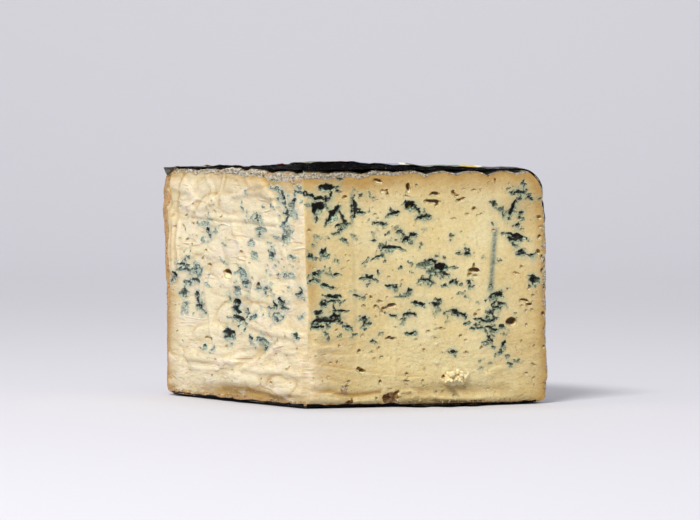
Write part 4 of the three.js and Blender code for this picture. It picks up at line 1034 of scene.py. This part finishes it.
wet = p.sum(p.ramp(p.noise(5, 3, 0.6, laid), 0.3, 0.7, 0.42, 0.6), p.times(smear, -0.08),
            p.times(rind_mask, 0.3))
height = p.sum(
    p.times(grained["Height"], p.ramp(smear, 0.0, 1.0, 0.6, 0.5)),
    p.times(p.noise(2.8, 3, 0.6, laid), p.ramp(smear, 0.0, 1.0, 0.6, 0.8)),
    p.times(p.noise(3.4, 3, 0.6, drawn_place), p.ramp(p.kept("laid_up"), 50.0, 28.0, 0.3, 2.0)),
    p.times(rind_mask, p.noise(0.9, 3, 0.7, laid), 3.2),
    p.times(p.ramp(blue_in, -0.5, 0.5), p.sum(strong, 0.3), p.sum(p.times(tuft, 1.6), -1.9)),
    p.times(p.ramp(blue_in, -0.8, -0.2), p.ramp(blue_in, 0.3, -0.2), p.ramp(smear, 0.0, 1.0, 0.3, 0.9)),
    p.times(p.ramp(brown_in, -0.45, 0.25), brown_strong, -3.0),
    p.times(p.ramp(straw_in, -0.45, 0.35), -2.0),
    p.times(torn, p.sum(p.times(torn_grain, 4.0), -5.0)),
    p.times(dragged, smear, near_base),
    p.times(pleats[1], 0.8), p.times(pleats[0], -0.6),
    p.times(highlight_flecks, 0.5), p.times(shaded_ticks, -0.7),
    p.times(flaked, 1.2), p.times(olive, -0.8))
p.dress(shader, body, wet, height, 0.45)
shader.inputs["Subsurface Weight"].default_value = 0.5
shader.inputs["Subsurface Radius"].default_value = (1.0, 0.66, 0.34)
shader.inputs["Subsurface Scale"].default_value = 0.0026
shader.inputs["Specular IOR Level"].default_value = 0.42
cheese.data.materials.append(paste)

# ---- The foil wrap ----------------------------------------------------------------------------
# Thin aluminium foil, lacquered black outside and bare inside, folded close round the wheel by hand.
# The knife cut it with the cheese, so its edges hang over the cut faces, lifted at the nose.
FOIL_THICKNESS = 0.12
FOIL_STAND = 0.42
TIP_RADIUS, SOLE_TIP_RADIUS = 0.16, 0.7
EDGE_TOP = {"right": ([0, 8, 20, 30, 38, 46, 54, 62, 72, 80, 88, 94.5, 102, 110, 125],
                      [119.2, 119.8, 119.8, 119.1, 118.4, 117.8, 117.6, 117, 117.1, 117, 116.9, 116.3, 116.6,
                       116.5, 116.1]),
            "left": ([0, 8, 20, 40, 50, 65, 80, 100, 118, 130],
                     [119.2, 118.6, 117.9, 117.4, 117.1, 117.2, 117.1, 117, 116.9, 116.6])}
EDGE_LOW = {"right": ([0, 12, 20, 30, 38, 46, 54, 62, 72, 80, 94.5, 110, 125],
                      [115.9, 116, 116.1, 116.4, 116.4, 115.9, 116.2, 115.4, 116, 116, 115.2, 115.9, 115.9]),
            "left": ([0, 10, 20, 40, 65, 80, 100, 106, 109, 130],
                     [116, 116.5, 116.2, 116.2, 116.5, 116.4, 116.2, 116.3, 117.1, 117.1])}
SKIRT_COLUMNS = 5
FOIL_COLUMNS = 158
TOP_ROWS = 66
HEEL_ROWS = 84
SOLE_ROWS = 44
SETTLED = 116.2
# Behind the right cut the sheet swells above its edge, so that its print shows: places and rise
SWELL = ([0, 6, 24, 32, 50, 64, 72, 82, 96, 108, 125], [0.5, 0.6, 0.9, 1.5, 1.9, 1.5, 1.1, 1.5, 1.6, 0.8, 0])
# How far the sheet lies out in front of each cut along the base, and how far it is torn back from each
# rim at heights; both as places and distances
APRON = {"right": ([0, 3, 20, 45, 57, 75, 95, 108, 125], [0.3, 1.3, 1.8, 2, 8, 12, 8, 3, 1.5]),
         "left": ([0, 3, 20, 60, 100, 130], [0.3, 1.3, 1.8, 2.4, 2, 1.2])}
TORN_BACK = {"right": ([0, 88, 91, 99, 102, 105, 108, 120], [4, 4, 0.2, 0.2, 3, 0.6, 0, 0]),
             "left": ([0, 110, 115, 120], [4, 4, 2, 0])}
BARE_BEYOND = -95  # left of this in the wheel's frame the foil has turned its bare side out
HIGHEST_FOIL = 119.9
LOWEST_FOIL, HIGHEST_APRON = 0.2, 2.6
# Shares of the way down the heel where its round top corner ends and its base corner begins
OVER_CORNER, UNDER_CORNER = 0.14, 0.93


def crumple(x, y, z, size, seed):
    """Sharp creases between flat facets, from 0 to 1."""
    return 1 - np.abs(lumps(x, y, z, size, seed))


def cut_distances(x, y):
    """For plan points: how far along each cut face, and how far inside it."""
    return {side: (np.maximum(x * ALONG[side][0] + y * ALONG[side][1], 0),
                   np.maximum(-(x * OUTWARD[side][0] + y * OUTWARD[side][1]), 0)) for side in SIDES}


def top_sheet_height(x, y):
    near = cut_distances(x, y)
    weights = {side: np.exp(-(near[side][1] / 13) ** 2) for side in SIDES}
    total = np.maximum(1, weights["right"] + weights["left"])
    settled = (SETTLED + 0.5 * (crumple(x, y, 0, 13, 61) - 0.6)
               * step(near["right"][1] + near["left"][1], 0, 20))
    settled = settled + 0.3 * (crumple(x, y, 0, 5, 62) - 0.6)
    lifted = sum(weights[side] * (np.interp(near[side][0], *EDGE_TOP[side]) - settled)
                 for side in SIDES) / total
    ruffle = 0.2 * lumps(x, y, 0, 2.5, 63) * (weights["right"] + weights["left"])
    along, inside = near["right"]
    swell = (np.interp(along, *SWELL) * hump(inside, 8, 5) * (0.75 + 0.35 * lumps(along, 2, 0, 9, 68))
             * step(near["left"][1], 0, 9))
    return np.minimum(settled + lifted + ruffle + swell, HIGHEST_FOIL)


def with_skirts(middle, skirt):
    """A row of the sheet with its cut edges, each laid outward from the row's end, column by column."""
    laid = {}
    for side, edge in (("right", middle[0]), ("left", middle[-1])):
        outward = np.array([*OUTWARD[side], 0])
        laid[side] = [skirt(side, outward, edge, w) for w in np.arange(1, SKIRT_COLUMNS + 1) / SKIRT_COLUMNS]
    return np.concatenate([np.array(laid["right"][::-1]), middle, np.array(laid["left"])])


def hanging(side, outward, edge, w):
    """On top the edge hangs over the cut face."""
    along = edge[1] / ALONG[side][1]
    drop = edge[2] - np.interp(along, *EDGE_LOW[side]) + 0.35 * lumps(along, 0, 0, 3, 74)
    wave = 0.35 + 0.35 * lumps(along, 5, 0, 4, 75)
    return edge + outward * (0.25 + wave * w) * step(along, 0, 4) - np.array([0, 0, max(drop, 0.3) * w])


def turned_in(amounts):
    """Round the heel the edge lies close, but where an amount is given it is turned in over the rim."""
    def laid(side, outward, edge, w):
        inward = np.array([-ALONG[side][0] * 0.8, -ALONG[side][1] * 0.8, -0.8]) * amounts[side]
        return edge + outward * mix(0.12, 0.5, amounts[side]) * w + inward * w
    return laid


def apron(side, outward, edge, w):
    """Under the base the edge is spread out in front of the cut, and curls up where it is short."""
    along = edge[1] / ALONG[side][1]
    reach = np.interp(along, *APRON[side]) * (1 + 0.35 * lumps(along, 0, 0, 7, 76))
    place = edge + outward * reach * w
    rise = 0.9 * crumple(place[0], place[1], 0, 4.5, 77) * w * min(1, reach / 4)
    curl = 1.9 * w * max(0, 1 - reach / 5)
    height = mix(edge[2], 0.45, w) + rise + curl + 0.4 * lumps(*place[:2], 0, 2.2, 78) * w
    place[2] = min(max(height, LOWEST_FOIL), HIGHEST_APRON)
    return place


sheet_share = np.linspace(0, 1, FOIL_COLUMNS)
sheet_angle = mix(CUT_ANGLE["right"], CUT_ANGLE["left"], sheet_share)


def top_row(t):
    reach = heel_radius(sheet_angle, RIM_TOP)
    radius = mix(TIP_RADIUS, reach, t ** 0.9)
    x, y = radius * np.cos(sheet_angle), radius * np.sin(sheet_angle)
    aside = nose_sideways(RIM_TOP) * (1 - radius / reach)
    return with_skirts(np.stack([x + aside, y, top_sheet_height(x, y)], 1), hanging)


def heel_row(t):
    """Folded foil round the heel: broad dents, long upright tucks and fine creases."""
    top = mix(TOP_CORNER["right"], TOP_CORNER["left"], sheet_share)
    low = mix(BASE_CORNER["right"], BASE_CORNER["left"], sheet_share)
    over, upright, under = (min(max((t - start) / (end - start), 0), 1) for start, end in
                            ((0, OVER_CORNER), (OVER_CORNER, UNDER_CORNER), (UNDER_CORNER, 1)))
    if t < OVER_CORNER:
        z, slope_up = RIM_TOP - top * (1 - np.cos(over * math.pi / 2)), np.cos(over * math.pi / 2)
    elif t > UNDER_CORNER:
        z, slope_up = CHEESE_BASE + low * (1 - np.sin(under * math.pi / 2)), -np.sin(under * math.pi / 2)
    else:
        z, slope_up = mix(RIM_TOP - top, CHEESE_BASE + low, upright), 0
    back_right = np.interp(z, *TORN_BACK["right"]) + 0.7 * lumps(z, 0, 0, 4, 71)
    back_left = np.interp(z, *TORN_BACK["left"]) + 0.9 * lumps(z, 9, 0, 5, 72)
    angle = mix(CUT_ANGLE["right"] + np.maximum(back_right, 0) / WHEEL_RADIUS,
                CUT_ANGLE["left"] - np.maximum(back_left, 0) / WHEEL_RADIUS, sheet_share)
    radius = heel_radius(angle, z)
    around = radius * sheet_angle
    tuck = 0.55 * crumple(around, 0, z * 0.22, 9, 64) + 0.35 * crumple(around, 0, z, 6, 65)
    tuck = tuck + 0.25 * crumple(around, 3, z, 3, 66)
    from_rim = np.minimum(sheet_share, 1 - sheet_share)
    stand = FOIL_STAND + tuck * (0.35 + 0.65 * step(from_rim, 0, 0.05)) * 0.8
    out = np.sqrt(1 - slope_up ** 2) * stand
    rise_top = top_sheet_height(radius * np.cos(angle), radius * np.sin(angle)) - RIM_TOP
    up = slope_up * mix(rise_top, stand, over) if slope_up >= 0 else slope_up * 0.5
    over_corner = 1.2 * (1 - step(t, 0.1, 0.19)) * (0.8 + 0.4 * lumps(40 * t, 0, 0, 1.3, 79))
    places = np.stack([(radius + out) * np.cos(angle), (radius + out) * np.sin(angle), z + up], 1)
    return with_skirts(places, turned_in({"right": over_corner, "left": 0}))


def sole_row(t):
    radius = mix(heel_radius(sheet_angle, CHEESE_BASE) - 0.2, SOLE_TIP_RADIUS, t ** 1.1)
    x, y = radius * np.cos(sheet_angle), radius * np.sin(sheet_angle)
    return with_skirts(np.stack([x, y, 0.62 + 0.3 * lumps(x, y, 0, 4, 67)], 1), apron)


LACQUERED_BORDER = 9  # columns of the grid beside a cut edge, where the inside is stained dark too


def leaf(name, outer, thickness, outer_material, inner_material, turned_out=-math.inf):
    """A closed thin sheet under a grid of points; rows run away from the nose on top."""
    down = np.gradient(outer, axis=0)
    across = np.gradient(outer, axis=1)
    normal = np.cross(down, across)
    normal /= np.linalg.norm(normal, axis=2, keepdims=True) + 1e-9
    inner = outer - normal * thickness
    count, width = outer.shape[:2]
    points = np.concatenate([outer.reshape(-1, 3), inner.reshape(-1, 3)])
    here = (np.arange(count - 1)[:, None] * width + np.arange(width - 1)[None, :]).ravel()
    under = count * width
    faces = np.stack([here, here + width, here + width + 1, here + 1], 1)
    faces_under = np.stack([here, here + 1, here + width + 1, here + width], 1) + under
    border = list(range(width)) + [r * width + width - 1 for r in range(1, count)]
    border += [(count - 1) * width + c for c in range(width - 2, -1, -1)]
    border = np.array(border + [r * width for r in range(count - 2, 0, -1)])
    follow = np.roll(border, -1)
    edge_faces = np.stack([border, follow, follow + under, border + under], 1)
    column = np.tile(np.arange(width), 2 * count)
    handled = step(np.minimum(column, width - 1 - column), LACQUERED_BORDER, 2 * LACQUERED_BORDER)
    mesh = mesh_of(name, points, np.concatenate([faces, faces_under, edge_faces]).tolist(),
                   {"handled": handled})
    mesh.materials.append(outer_material)
    mesh.materials.append(inner_material)
    slots = np.zeros(len(mesh.polygons), np.int32)
    column = here % width
    slots[len(faces):2 * len(faces)] = (column > LACQUERED_BORDER) & (column < width - LACQUERED_BORDER)
    middles = points[faces].mean(1)
    slots[:len(faces)][(middles[:, 0] < turned_out) & (middles[:, 2] > RIM_TOP - 4)] = 1
    mesh.polygons.foreach_set("material_index", slots)
    return placed(name, mesh)


# Fine creases that every handled sheet shares: tilted facets with sharp lines between them
FACETS_PER_METRE, FINE_FACETS_PER_METRE = 75.0, 190.0
creases, c, given, out = new_group("handled_creases", {"Size": "Float", "Depth": "Float"},
                                   {"Height": "Float", "Lines": "Float", "Facets": "Float"})
scaled = c.vector("SCALE", c.at(), c.math("DIVIDE", 1.0, given["Size"]))
bent = c.vector("SCALE", c.lay("TexNoise", {"Vector": scaled, "Scale": 160.0}).outputs["Color"], 0.004)
warped = c.vector("ADD", scaled, bent)
tucked = c.vector("MULTIPLY", warped, (1.0, 1.0, 0.4))


def fold_lines(place, per_metre):
    return c.lay("TexVoronoi", {"Vector": place, "Scale": per_metre},
                 feature="DISTANCE_TO_EDGE").outputs["Distance"]


height = c.sum(c.ramp(fold_lines(warped, 260.0), 0.0, 0.12),
               c.times(c.ramp(fold_lines(warped, 720.0), 0.0, 0.12), 0.35))
turned_to_light = []
for per_metre, steepness in ((FACETS_PER_METRE, 1500.0), (FINE_FACETS_PER_METRE, 1300.0)):
    facet = c.lay("TexVoronoi", {"Vector": tucked, "Scale": per_metre}, feature="F1").outputs
    off_centre = c.vector("SUBTRACT", tucked, facet["Position"])
    lean = c.vector("SUBTRACT", facet["Color"], (0.5, 0.5, 0.5))
    tilt = c.lay("VectorMath", {0: off_centre, 1: lean}, operation="DOT_PRODUCT").outputs["Value"]
    height = c.sum(height, c.times(tilt, steepness))
    turned_to_light.append(c.ramp(facet["Color"], 0.5, 0.8))
c.feed(out, {"Height": c.times(height, given["Depth"]),
             "Lines": c.ramp(fold_lines(tucked, FACETS_PER_METRE), 0.0, 0.04, 1.0, 0.0),
             "Facets": c.sum(c.times(turned_to_light[0], 0.75), c.times(turned_to_light[1], 0.3))})

LACQUER = colour(3, 1, 2), colour(8, 6, 8)
FACET_SHEEN = colour(66, 63, 68)
CREASE_GLINT = colour(140, 136, 140)
APRON_GLINT = colour(214, 214, 212)
BARE_FOIL = colour(70, 68, 56), colour(132, 128, 108)

black_foil, f, shader = new_material("black_lacquered_foil")
creased = f.group(creases, {"Size": 1.0, "Depth": 1.0})
handled = f.kept("handled")
# Painted glints along the crease lines, a painted sheen on a random share of facets, and painted glints in
# spots low on the apron at the front right; the crease glints and the facet sheen also make the foil metallic
# there
crease_glints = f.times(creased["Lines"], f.ramp(f.noise(9, 2, 0.5), 0.45, 0.65), handled)
painted_facet_sheen = f.times(creased["Facets"], handled)
place = f.lay("SeparateXYZ", {0: f.at()}).outputs
apron_glints = f.times(f.ramp(place["Z"], 0.003, 0.002), f.ramp(place["X"], 0.04, 0.048),
                  f.ramp(f.noise(1.4, 3, 0.6), 0.64, 0.68))
tone = f.over(f.ramp(f.noise(12, 2, 0.5), 0.4, 0.65), *LACQUER)
tone = f.over(painted_facet_sheen, tone, FACET_SHEEN)
tone = f.over(f.times(crease_glints, 0.5), tone, CREASE_GLINT)
tone = f.over(apron_glints, tone, APRON_GLINT)
f.dress(shader, tone, f.ramp(f.noise(4, 3, 0.6), 0.3, 0.7, 0.1, 0.24), creased["Height"], 0.3)
f.feed(shader, {"Metallic": f.clamped(f.sum(f.times(crease_glints, 0.6), painted_facet_sheen))})
shader.inputs["Specular IOR Level"].default_value = 0.09

# Bare foil is dull, stained by the rind
bare_foil, b, shader = new_material("bare_foil_inside")
creased = b.group(creases, {"Size": 0.8, "Depth": 1.0})
b.dress(shader, b.over(b.ramp(b.noise(6, 3, 0.6), 0.45, 0.6), *BARE_FOIL),
        b.ramp(b.noise(3, 2, 0.6), 0.3, 0.7, 0.25, 0.5), creased["Height"], 0.3, 0.8)
shader.inputs["Metallic"].default_value = 0.5

foil_points = np.stack([top_row(t) for t in np.linspace(0, 1, TOP_ROWS, endpoint=False)]
                       + [heel_row(t) for t in np.linspace(0, 1, HEEL_ROWS)]
                       + [sole_row(t) for t in np.linspace(0, 1, SOLE_ROWS + 1)[1:]])
wrap = leaf("foil_wrap", foil_points, FOIL_THICKNESS, black_foil, bare_foil, BARE_BEYOND)
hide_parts("wrap")
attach(wrap, "root")

# A corner of the foil that has turned its bare side out, at the top of the left rim. Its corners are
# places along and up the left face: the upper two, then the lower two.
EAR_CORNERS = ((126.2, 116.1), (114.5, 117.3)), ((122.4, 112.4), (115.5, 116.1))
EAR_ROWS, EAR_COLUMNS = 9, 15
ear_points = np.zeros((EAR_ROWS, EAR_COLUMNS, 3))
u = np.linspace(0, 1, EAR_COLUMNS)
for row, v in enumerate(np.linspace(0, 1, EAR_ROWS)):
    upper, lower = ([mix(start[i], end[i], u) for i in (0, 1)] for start, end in EAR_CORNERS)
    s, z = (mix(upper[i], lower[i], v) for i in (0, 1))
    z = z + 0.3 * lumps(s, v * 4, 0, 2.6, 91)
    off = mix(1.3, 0.5, u) + 0.5 * lumps(s, v * 5, 3, 3, 92)
    x, y = (ALONG["left"][i] * s + OUTWARD["left"][i] * off for i in (0, 1))
    ear_points[row] = np.stack([x, y, z], 1)
ear = leaf("turned_foil_corner", ear_points[:, ::-1], FOIL_THICKNESS, bare_foil, bare_foil)
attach(ear, "root")

# ---- The paper label --------------------------------------------------------------------------
# A round paper printed in plain rings, glued to the middle of the wheel's top and cut with it, so a
# wedge of it is left. Its cut edge curls up a little from the foil.
LABEL_RADIUS = 94
LABEL_TIP = 4
LABEL_THICKNESS = 0.12
LABEL_ROWS = 74
LABEL_COLUMNS = 120
HIGHEST_PAPER = 120.35
# The printed rings, as the share of the radius that each reaches to and its ink
LABEL_RINGS = [(0.13, (120, 124, 104)), (0.185, (228, 226, 220)), (0.245, (190, 84, 56)),
               (0.53, (142, 150, 168)), (0.57, (226, 222, 210)), (0.86, (104, 112, 96)),
               (0.95, (206, 178, 74)), (1.0, (222, 218, 204))]


def label_grid():
    rows = []
    share = np.linspace(0, 1, LABEL_COLUMNS)
    for t in np.linspace(0, 1, LABEL_ROWS):
        radius = mix(LABEL_TIP, LABEL_RADIUS, t)
        angle = mix(CUT_ANGLE["right"], CUT_ANGLE["left"], share)
        x, y = radius * np.cos(angle), radius * np.sin(angle)
        near = cut_distances(x, y)
        edge = np.exp(-np.minimum(near["right"][1], near["left"][1]) / 1.5)
        curl = 0.7 * edge * np.maximum(0, lumps(x, y, 0, 5, 81) + 0.3)
        z = top_sheet_height(x, y) + 0.2 + LABEL_THICKNESS + curl
        aside = nose_sideways(RIM_TOP) * (1 - radius / heel_radius(angle, RIM_TOP))
        rows.append(np.stack([x + aside, y, np.minimum(z, HIGHEST_PAPER)], 1))
    return np.stack(rows)


FADED_INK = colour(232, 228, 214)
printed_paper, l, shader = new_material("printed_paper")
apart = l.vector("SUBTRACT", l.at(), tuple(WHEEL_AXIS * 0.001))
flat = l.vector("MULTIPLY", apart, (1, 1, 0))
radius = l.lay("VectorMath", {0: flat}, operation="LENGTH").outputs["Value"]
print_at = l.sum(radius, l.times(l.sum(l.noise(14, 2, 0.5), -0.5), 0.0015))
printed = colour(*LABEL_RINGS[0][1])
for (edge_share, _), (_, ink) in zip(LABEL_RINGS, LABEL_RINGS[1:]):
    limit = edge_share * LABEL_RADIUS * 0.001
    printed = l.over(l.ramp(print_at, limit - 0.0001, limit + 0.0001), printed, colour(*ink))
printed = l.over(l.ramp(l.noise(3, 4, 0.7), 0.62, 0.72, 0.0, 0.35), printed, FADED_INK)
creased = l.group(creases, {"Size": 1.8, "Depth": 1.0})
fibre = l.sum(creased["Height"], l.times(l.noise(0.5, 3, 0.7), 0.4))
l.dress(shader, printed, l.ramp(l.noise(2, 2, 0.5), 0.3, 0.7, 0.4, 0.6), fibre, 0.15, 0.8)

label = leaf("paper_label", label_grid(), LABEL_THICKNESS, printed_paper, printed_paper)
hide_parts("label")
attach(label, "root")

# ---- Crumbs -----------------------------------------------------------------------------------
# Granules of rind along the bottom edge of both cut faces and specks on the frayed top edge. They
# are scattered over strips of the cheese's own skin, by Geometry Nodes.


def strip_of_skin(name, first_row, last_row, side, stretch=(0, math.inf)):
    """Part of a cut face, as an open sheet to scatter on."""
    along_here = WHEEL_RADIUS * np.concatenate([shares, np.zeros(HEEL_COLUMNS), 1 - shares])
    picked = np.where((face_side == side) & (along_here >= stretch[0]) & (along_here <= stretch[1]))[0]
    rows = np.stack(cheese_rings[len(base) + first_row:len(base) + last_row])[:, picked]
    count, width = rows.shape[:2]
    here = (np.arange(count - 1)[:, None] * width + np.arange(width - 1)[None, :]).ravel()
    faces = np.stack([here, here + 1, here + width + 1, here + width], 1).tolist()
    return placed(name, mesh_of(name, rows.reshape(-1, 3), faces, {}, smooth=False))


CRUMB_SHAKE = (0.16, 0.16, 0.16)
SMALLEST_CRUMB = 0.35  # of the largest one's size


def crumb_tree():
    """Lumpy grains of many sizes, strewn over a strip and turned every way."""
    tree = bpy.data.node_groups.new("scattered_crumbs", "GeometryNodeTree")
    sockets = {"Geometry": "Geometry", "Density": "Float", "Size": "Float", "Seed": "Int",
               "Material": "Material"}
    for socket, kind in sockets.items():
        tree.interface.new_socket(socket, in_out="INPUT", socket_type="NodeSocket" + kind)
    tree.interface.new_socket("Geometry", in_out="OUTPUT", socket_type="NodeSocketGeometry")
    laid = Finish(tree)

    def lay(kind, inputs, **settings):
        return laid.lay(kind, inputs, "GeometryNode", **settings).outputs

    def chance(inputs, kind):
        return laid.lay("RandomValue", inputs, "FunctionNode", data_type=kind).outputs

    given = tree.nodes.new("NodeGroupInput").outputs
    points = lay("DistributePointsOnFaces",
                 {"Mesh": given["Geometry"], "Density": given["Density"], "Seed": given["Seed"]})
    ball = lay("MeshIcoSphere", {"Radius": 0.5, "Subdivisions": 2})
    shake = chance({0: tuple(-s for s in CRUMB_SHAKE), 1: CRUMB_SHAKE, "Seed": 3}, "FLOAT_VECTOR")
    lumpy = lay("SetPosition", {"Geometry": ball["Mesh"], "Offset": shake[0]})
    turn = chance({0: (0, 0, 0), 1: (6.28, 6.28, 6.28), "Seed": given["Seed"]}, "FLOAT_VECTOR")
    big = chance({2: SMALLEST_CRUMB, 3: 1.0, "Seed": given["Seed"]}, "FLOAT")
    strewn = lay("InstanceOnPoints", {"Points": points["Points"], "Instance": lumpy["Geometry"],
                                      "Rotation": turn[0], "Scale": laid.times(big[1], given["Size"])})
    real = lay("RealizeInstances", {"Geometry": strewn["Instances"]})
    dressed = lay("SetMaterial", {"Geometry": real["Geometry"], "Material": given["Material"]})
    laid.feed(tree.nodes.new("NodeGroupOutput"), {"Geometry": dressed["Geometry"]})
    return tree


def scatter(name, strips, tree, density, size, seed, material):
    """Crumbs over strips of skin, joined into one plain mesh: how many to a square metre, and how large."""
    joined = bmesh.new()
    for number, strip in enumerate(strips):
        modifier = strip.modifiers.new("crumbs", "NODES")
        modifier.node_group = tree
        sockets = {item.name: item.identifier for item in tree.interface.items_tree if item.in_out == "INPUT"}
        for socket, value in (("Density", density), ("Size", size), ("Seed", seed + number),
                              ("Material", material)):
            modifier[sockets[socket]] = value
        bpy.context.view_layer.update()
        made = bpy.data.meshes.new_from_object(strip.evaluated_get(bpy.context.evaluated_depsgraph_get()))
        joined.from_mesh(made)
        strip.modifiers.clear()
        bpy.data.objects.remove(strip)
    mesh = bpy.data.meshes.new(name)
    joined.to_mesh(mesh)
    joined.free()
    mesh.materials.clear()
    mesh.materials.append(material)
    piece = placed(name, mesh)
    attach(piece, "root")
    return piece


def crumb_finish(name, pore_size, tones, patch, ramp_ends, roughness):
    """A crumb's finish: two tones in patches, with the grain of the paste it broke from."""
    material, r, shader = new_material(name)
    grained = r.group(grain, {"Place": r.at(), "Pore Size": pore_size, "Depth": 1.0})
    tone = r.over(r.ramp(r.noise(patch, 2, 0.5), *ramp_ends), *tones)
    r.dress(shader, tone, r.ramp(r.noise(1.2, 2, 0.5), 0.3, 0.7, *roughness), grained["Height"], 0.1)
    return material


RIND_CRUMB = colour(176, 146, 98), colour(226, 204, 160)
PASTE_CRUMB = colour(236, 214, 156), CRUMB_CREAM
rind_crumb = crumb_finish("rind_crumb", 0.6, RIND_CRUMB, 1.6, (0.42, 0.6), (0.6, 0.85))
crumbs = crumb_tree()
BASE_STRETCHES = (("right", (47, 108)), ("left", (4, 30)), ("left", (70, 112)))
scatter("bottom_edge_crumbs",
        [strip_of_skin(f"bottom_strip_{side}", 1, 5, side, stretch) for side, stretch in BASE_STRETCHES],
        crumbs, 300000.0, 0.0011, 5, rind_crumb)
scatter("top_edge_crumbs",
        [strip_of_skin(f"top_strip_{side}", WALL_ROWS - 2, WALL_ROWS + 6, side) for side in SIDES],
        crumbs, 130000.0, 0.0009, 17, rind_crumb)

# The lump on the right face is paste that crumbled off the knife
LUMP_UP, LUMP_ALONG = (11.2, 16.4), (71.5, 83)
paste_crumb = crumb_finish("crumbled_paste", 0.5, PASTE_CRUMB, 1.4, (0.4, 0.62), (0.5, 0.75))
rows_from, rows_to = (int(np.searchsorted(nominal[:, 0], z)) for z in LUMP_UP)
scatter("clinging_crumbs", [strip_of_skin("lump_strip", rows_from, rows_to, "right", LUMP_ALONG)],
        crumbs, 900000.0, 0.0019, 29, paste_crumb)

# ---- Floor, light and camera ------------------------------------------------------------------
# A pale grey sweep under and behind the cheese, a soft window light from above its front, a weaker one
# overhead, one that washes the sweep, and the camera nearly level with the top edge, 1.85 m away.
CAMERA_AZIMUTH = math.radians(18.5)
SWEEP_BACK, SWEEP_RADIUS, SWEEP_REACH = 2.9, 1.2, 7.0
profile = [(-SWEEP_REACH, 0), (SWEEP_BACK - SWEEP_RADIUS, 0)]
profile += [(SWEEP_BACK - SWEEP_RADIUS + SWEEP_RADIUS * math.sin(turn),
             SWEEP_RADIUS - SWEEP_RADIUS * math.cos(turn))
            for turn in np.linspace(0, math.pi / 2, 24)[1:]] + [(SWEEP_BACK, SWEEP_REACH)]
sin_a, cos_a = math.sin(CAMERA_AZIMUTH), math.cos(CAMERA_AZIMUTH)
sweep_points = [(side * SWEEP_REACH * cos_a - back * sin_a, side * SWEEP_REACH * sin_a + back * cos_a, rise)
                for back, rise in profile for side in (-1, 1)]
sweep_mesh = bpy.data.meshes.new("pale_sweep")
sweep_mesh.from_pydata(sweep_points, [],
                       [(2 * n, 2 * n + 1, 2 * n + 3, 2 * n + 2) for n in range(len(profile) - 1)])
sweep_mesh.polygons.foreach_set("use_smooth", [True] * len(sweep_mesh.polygons))
sweep = placed("pale_sweep", sweep_mesh)
pale, s, shader = new_material("pale_backdrop")
shader.inputs["Base Color"].default_value = colour(204, 204, 212)
shader.inputs["Roughness"].default_value = 0.9
sweep_mesh.materials.append(pale)


def soft_light(name, place, aim, size, power, tint):
    data = bpy.data.lights.new(name, "AREA")
    data.shape = "RECTANGLE"
    data.size, data.size_y = size
    data.energy = power
    data.color = tint
    lamp = placed(name, data)
    lamp.location = place
    lamp.rotation_euler = (Vector(aim) - Vector(place)).to_track_quat("-Z", "Y").to_euler()


DAYLIGHT, HIGH_LIGHT, ROOM = (1, 0.98, 0.95), (1, 0.99, 0.98), (1, 0.98, 0.96, 1)
soft_light("window", (-0.12, -1.2, 1.5), (0, 0, 0.06), (0.6, 0.4), 28.7, DAYLIGHT)
soft_light("overhead", (-0.1, 0.35, 1.7), (0, 0.02, 0.06), (1.1, 0.4), 7, HIGH_LIGHT)
soft_light("sweep_wash", (-1.9 * sin_a, 1.9 * cos_a, 1.7), (-2.7 * sin_a, 2.7 * cos_a, 0.2), (3, 0.8), 15.6,
           HIGH_LIGHT)
world = bpy.data.worlds.new("pale_room")
bpy.context.scene.world = world
world.use_nodes = True
world.node_tree.nodes["Background"].inputs["Color"].default_value = ROOM
world.node_tree.nodes["Background"].inputs["Strength"].default_value = 0.5

CAMERA_PITCH = math.radians(1.95)
CAMERA_AWAY, CAMERA_ASIDE, CAMERA_HEIGHT = 1850, 21.8, 135.4
CAMERA_LENS = 196.3
data = bpy.data.cameras.new("camera")
data.lens = CAMERA_LENS
data.sensor_width = 36
data.clip_end = 20
camera = placed("camera", data)
camera.location = ((WHEEL_AXIS[0] + CAMERA_ASIDE * cos_a + CAMERA_AWAY * sin_a) * 0.001,
                   (WHEEL_AXIS[1] + CAMERA_ASIDE * sin_a - CAMERA_AWAY * cos_a) * 0.001,
                   CAMERA_HEIGHT * 0.001)
camera.rotation_euler = (math.pi / 2 - CAMERA_PITCH, 0, CAMERA_AZIMUTH)
bpy.context.scene.camera = camera
bpy.context.scene.view_settings.view_transform = "Standard"
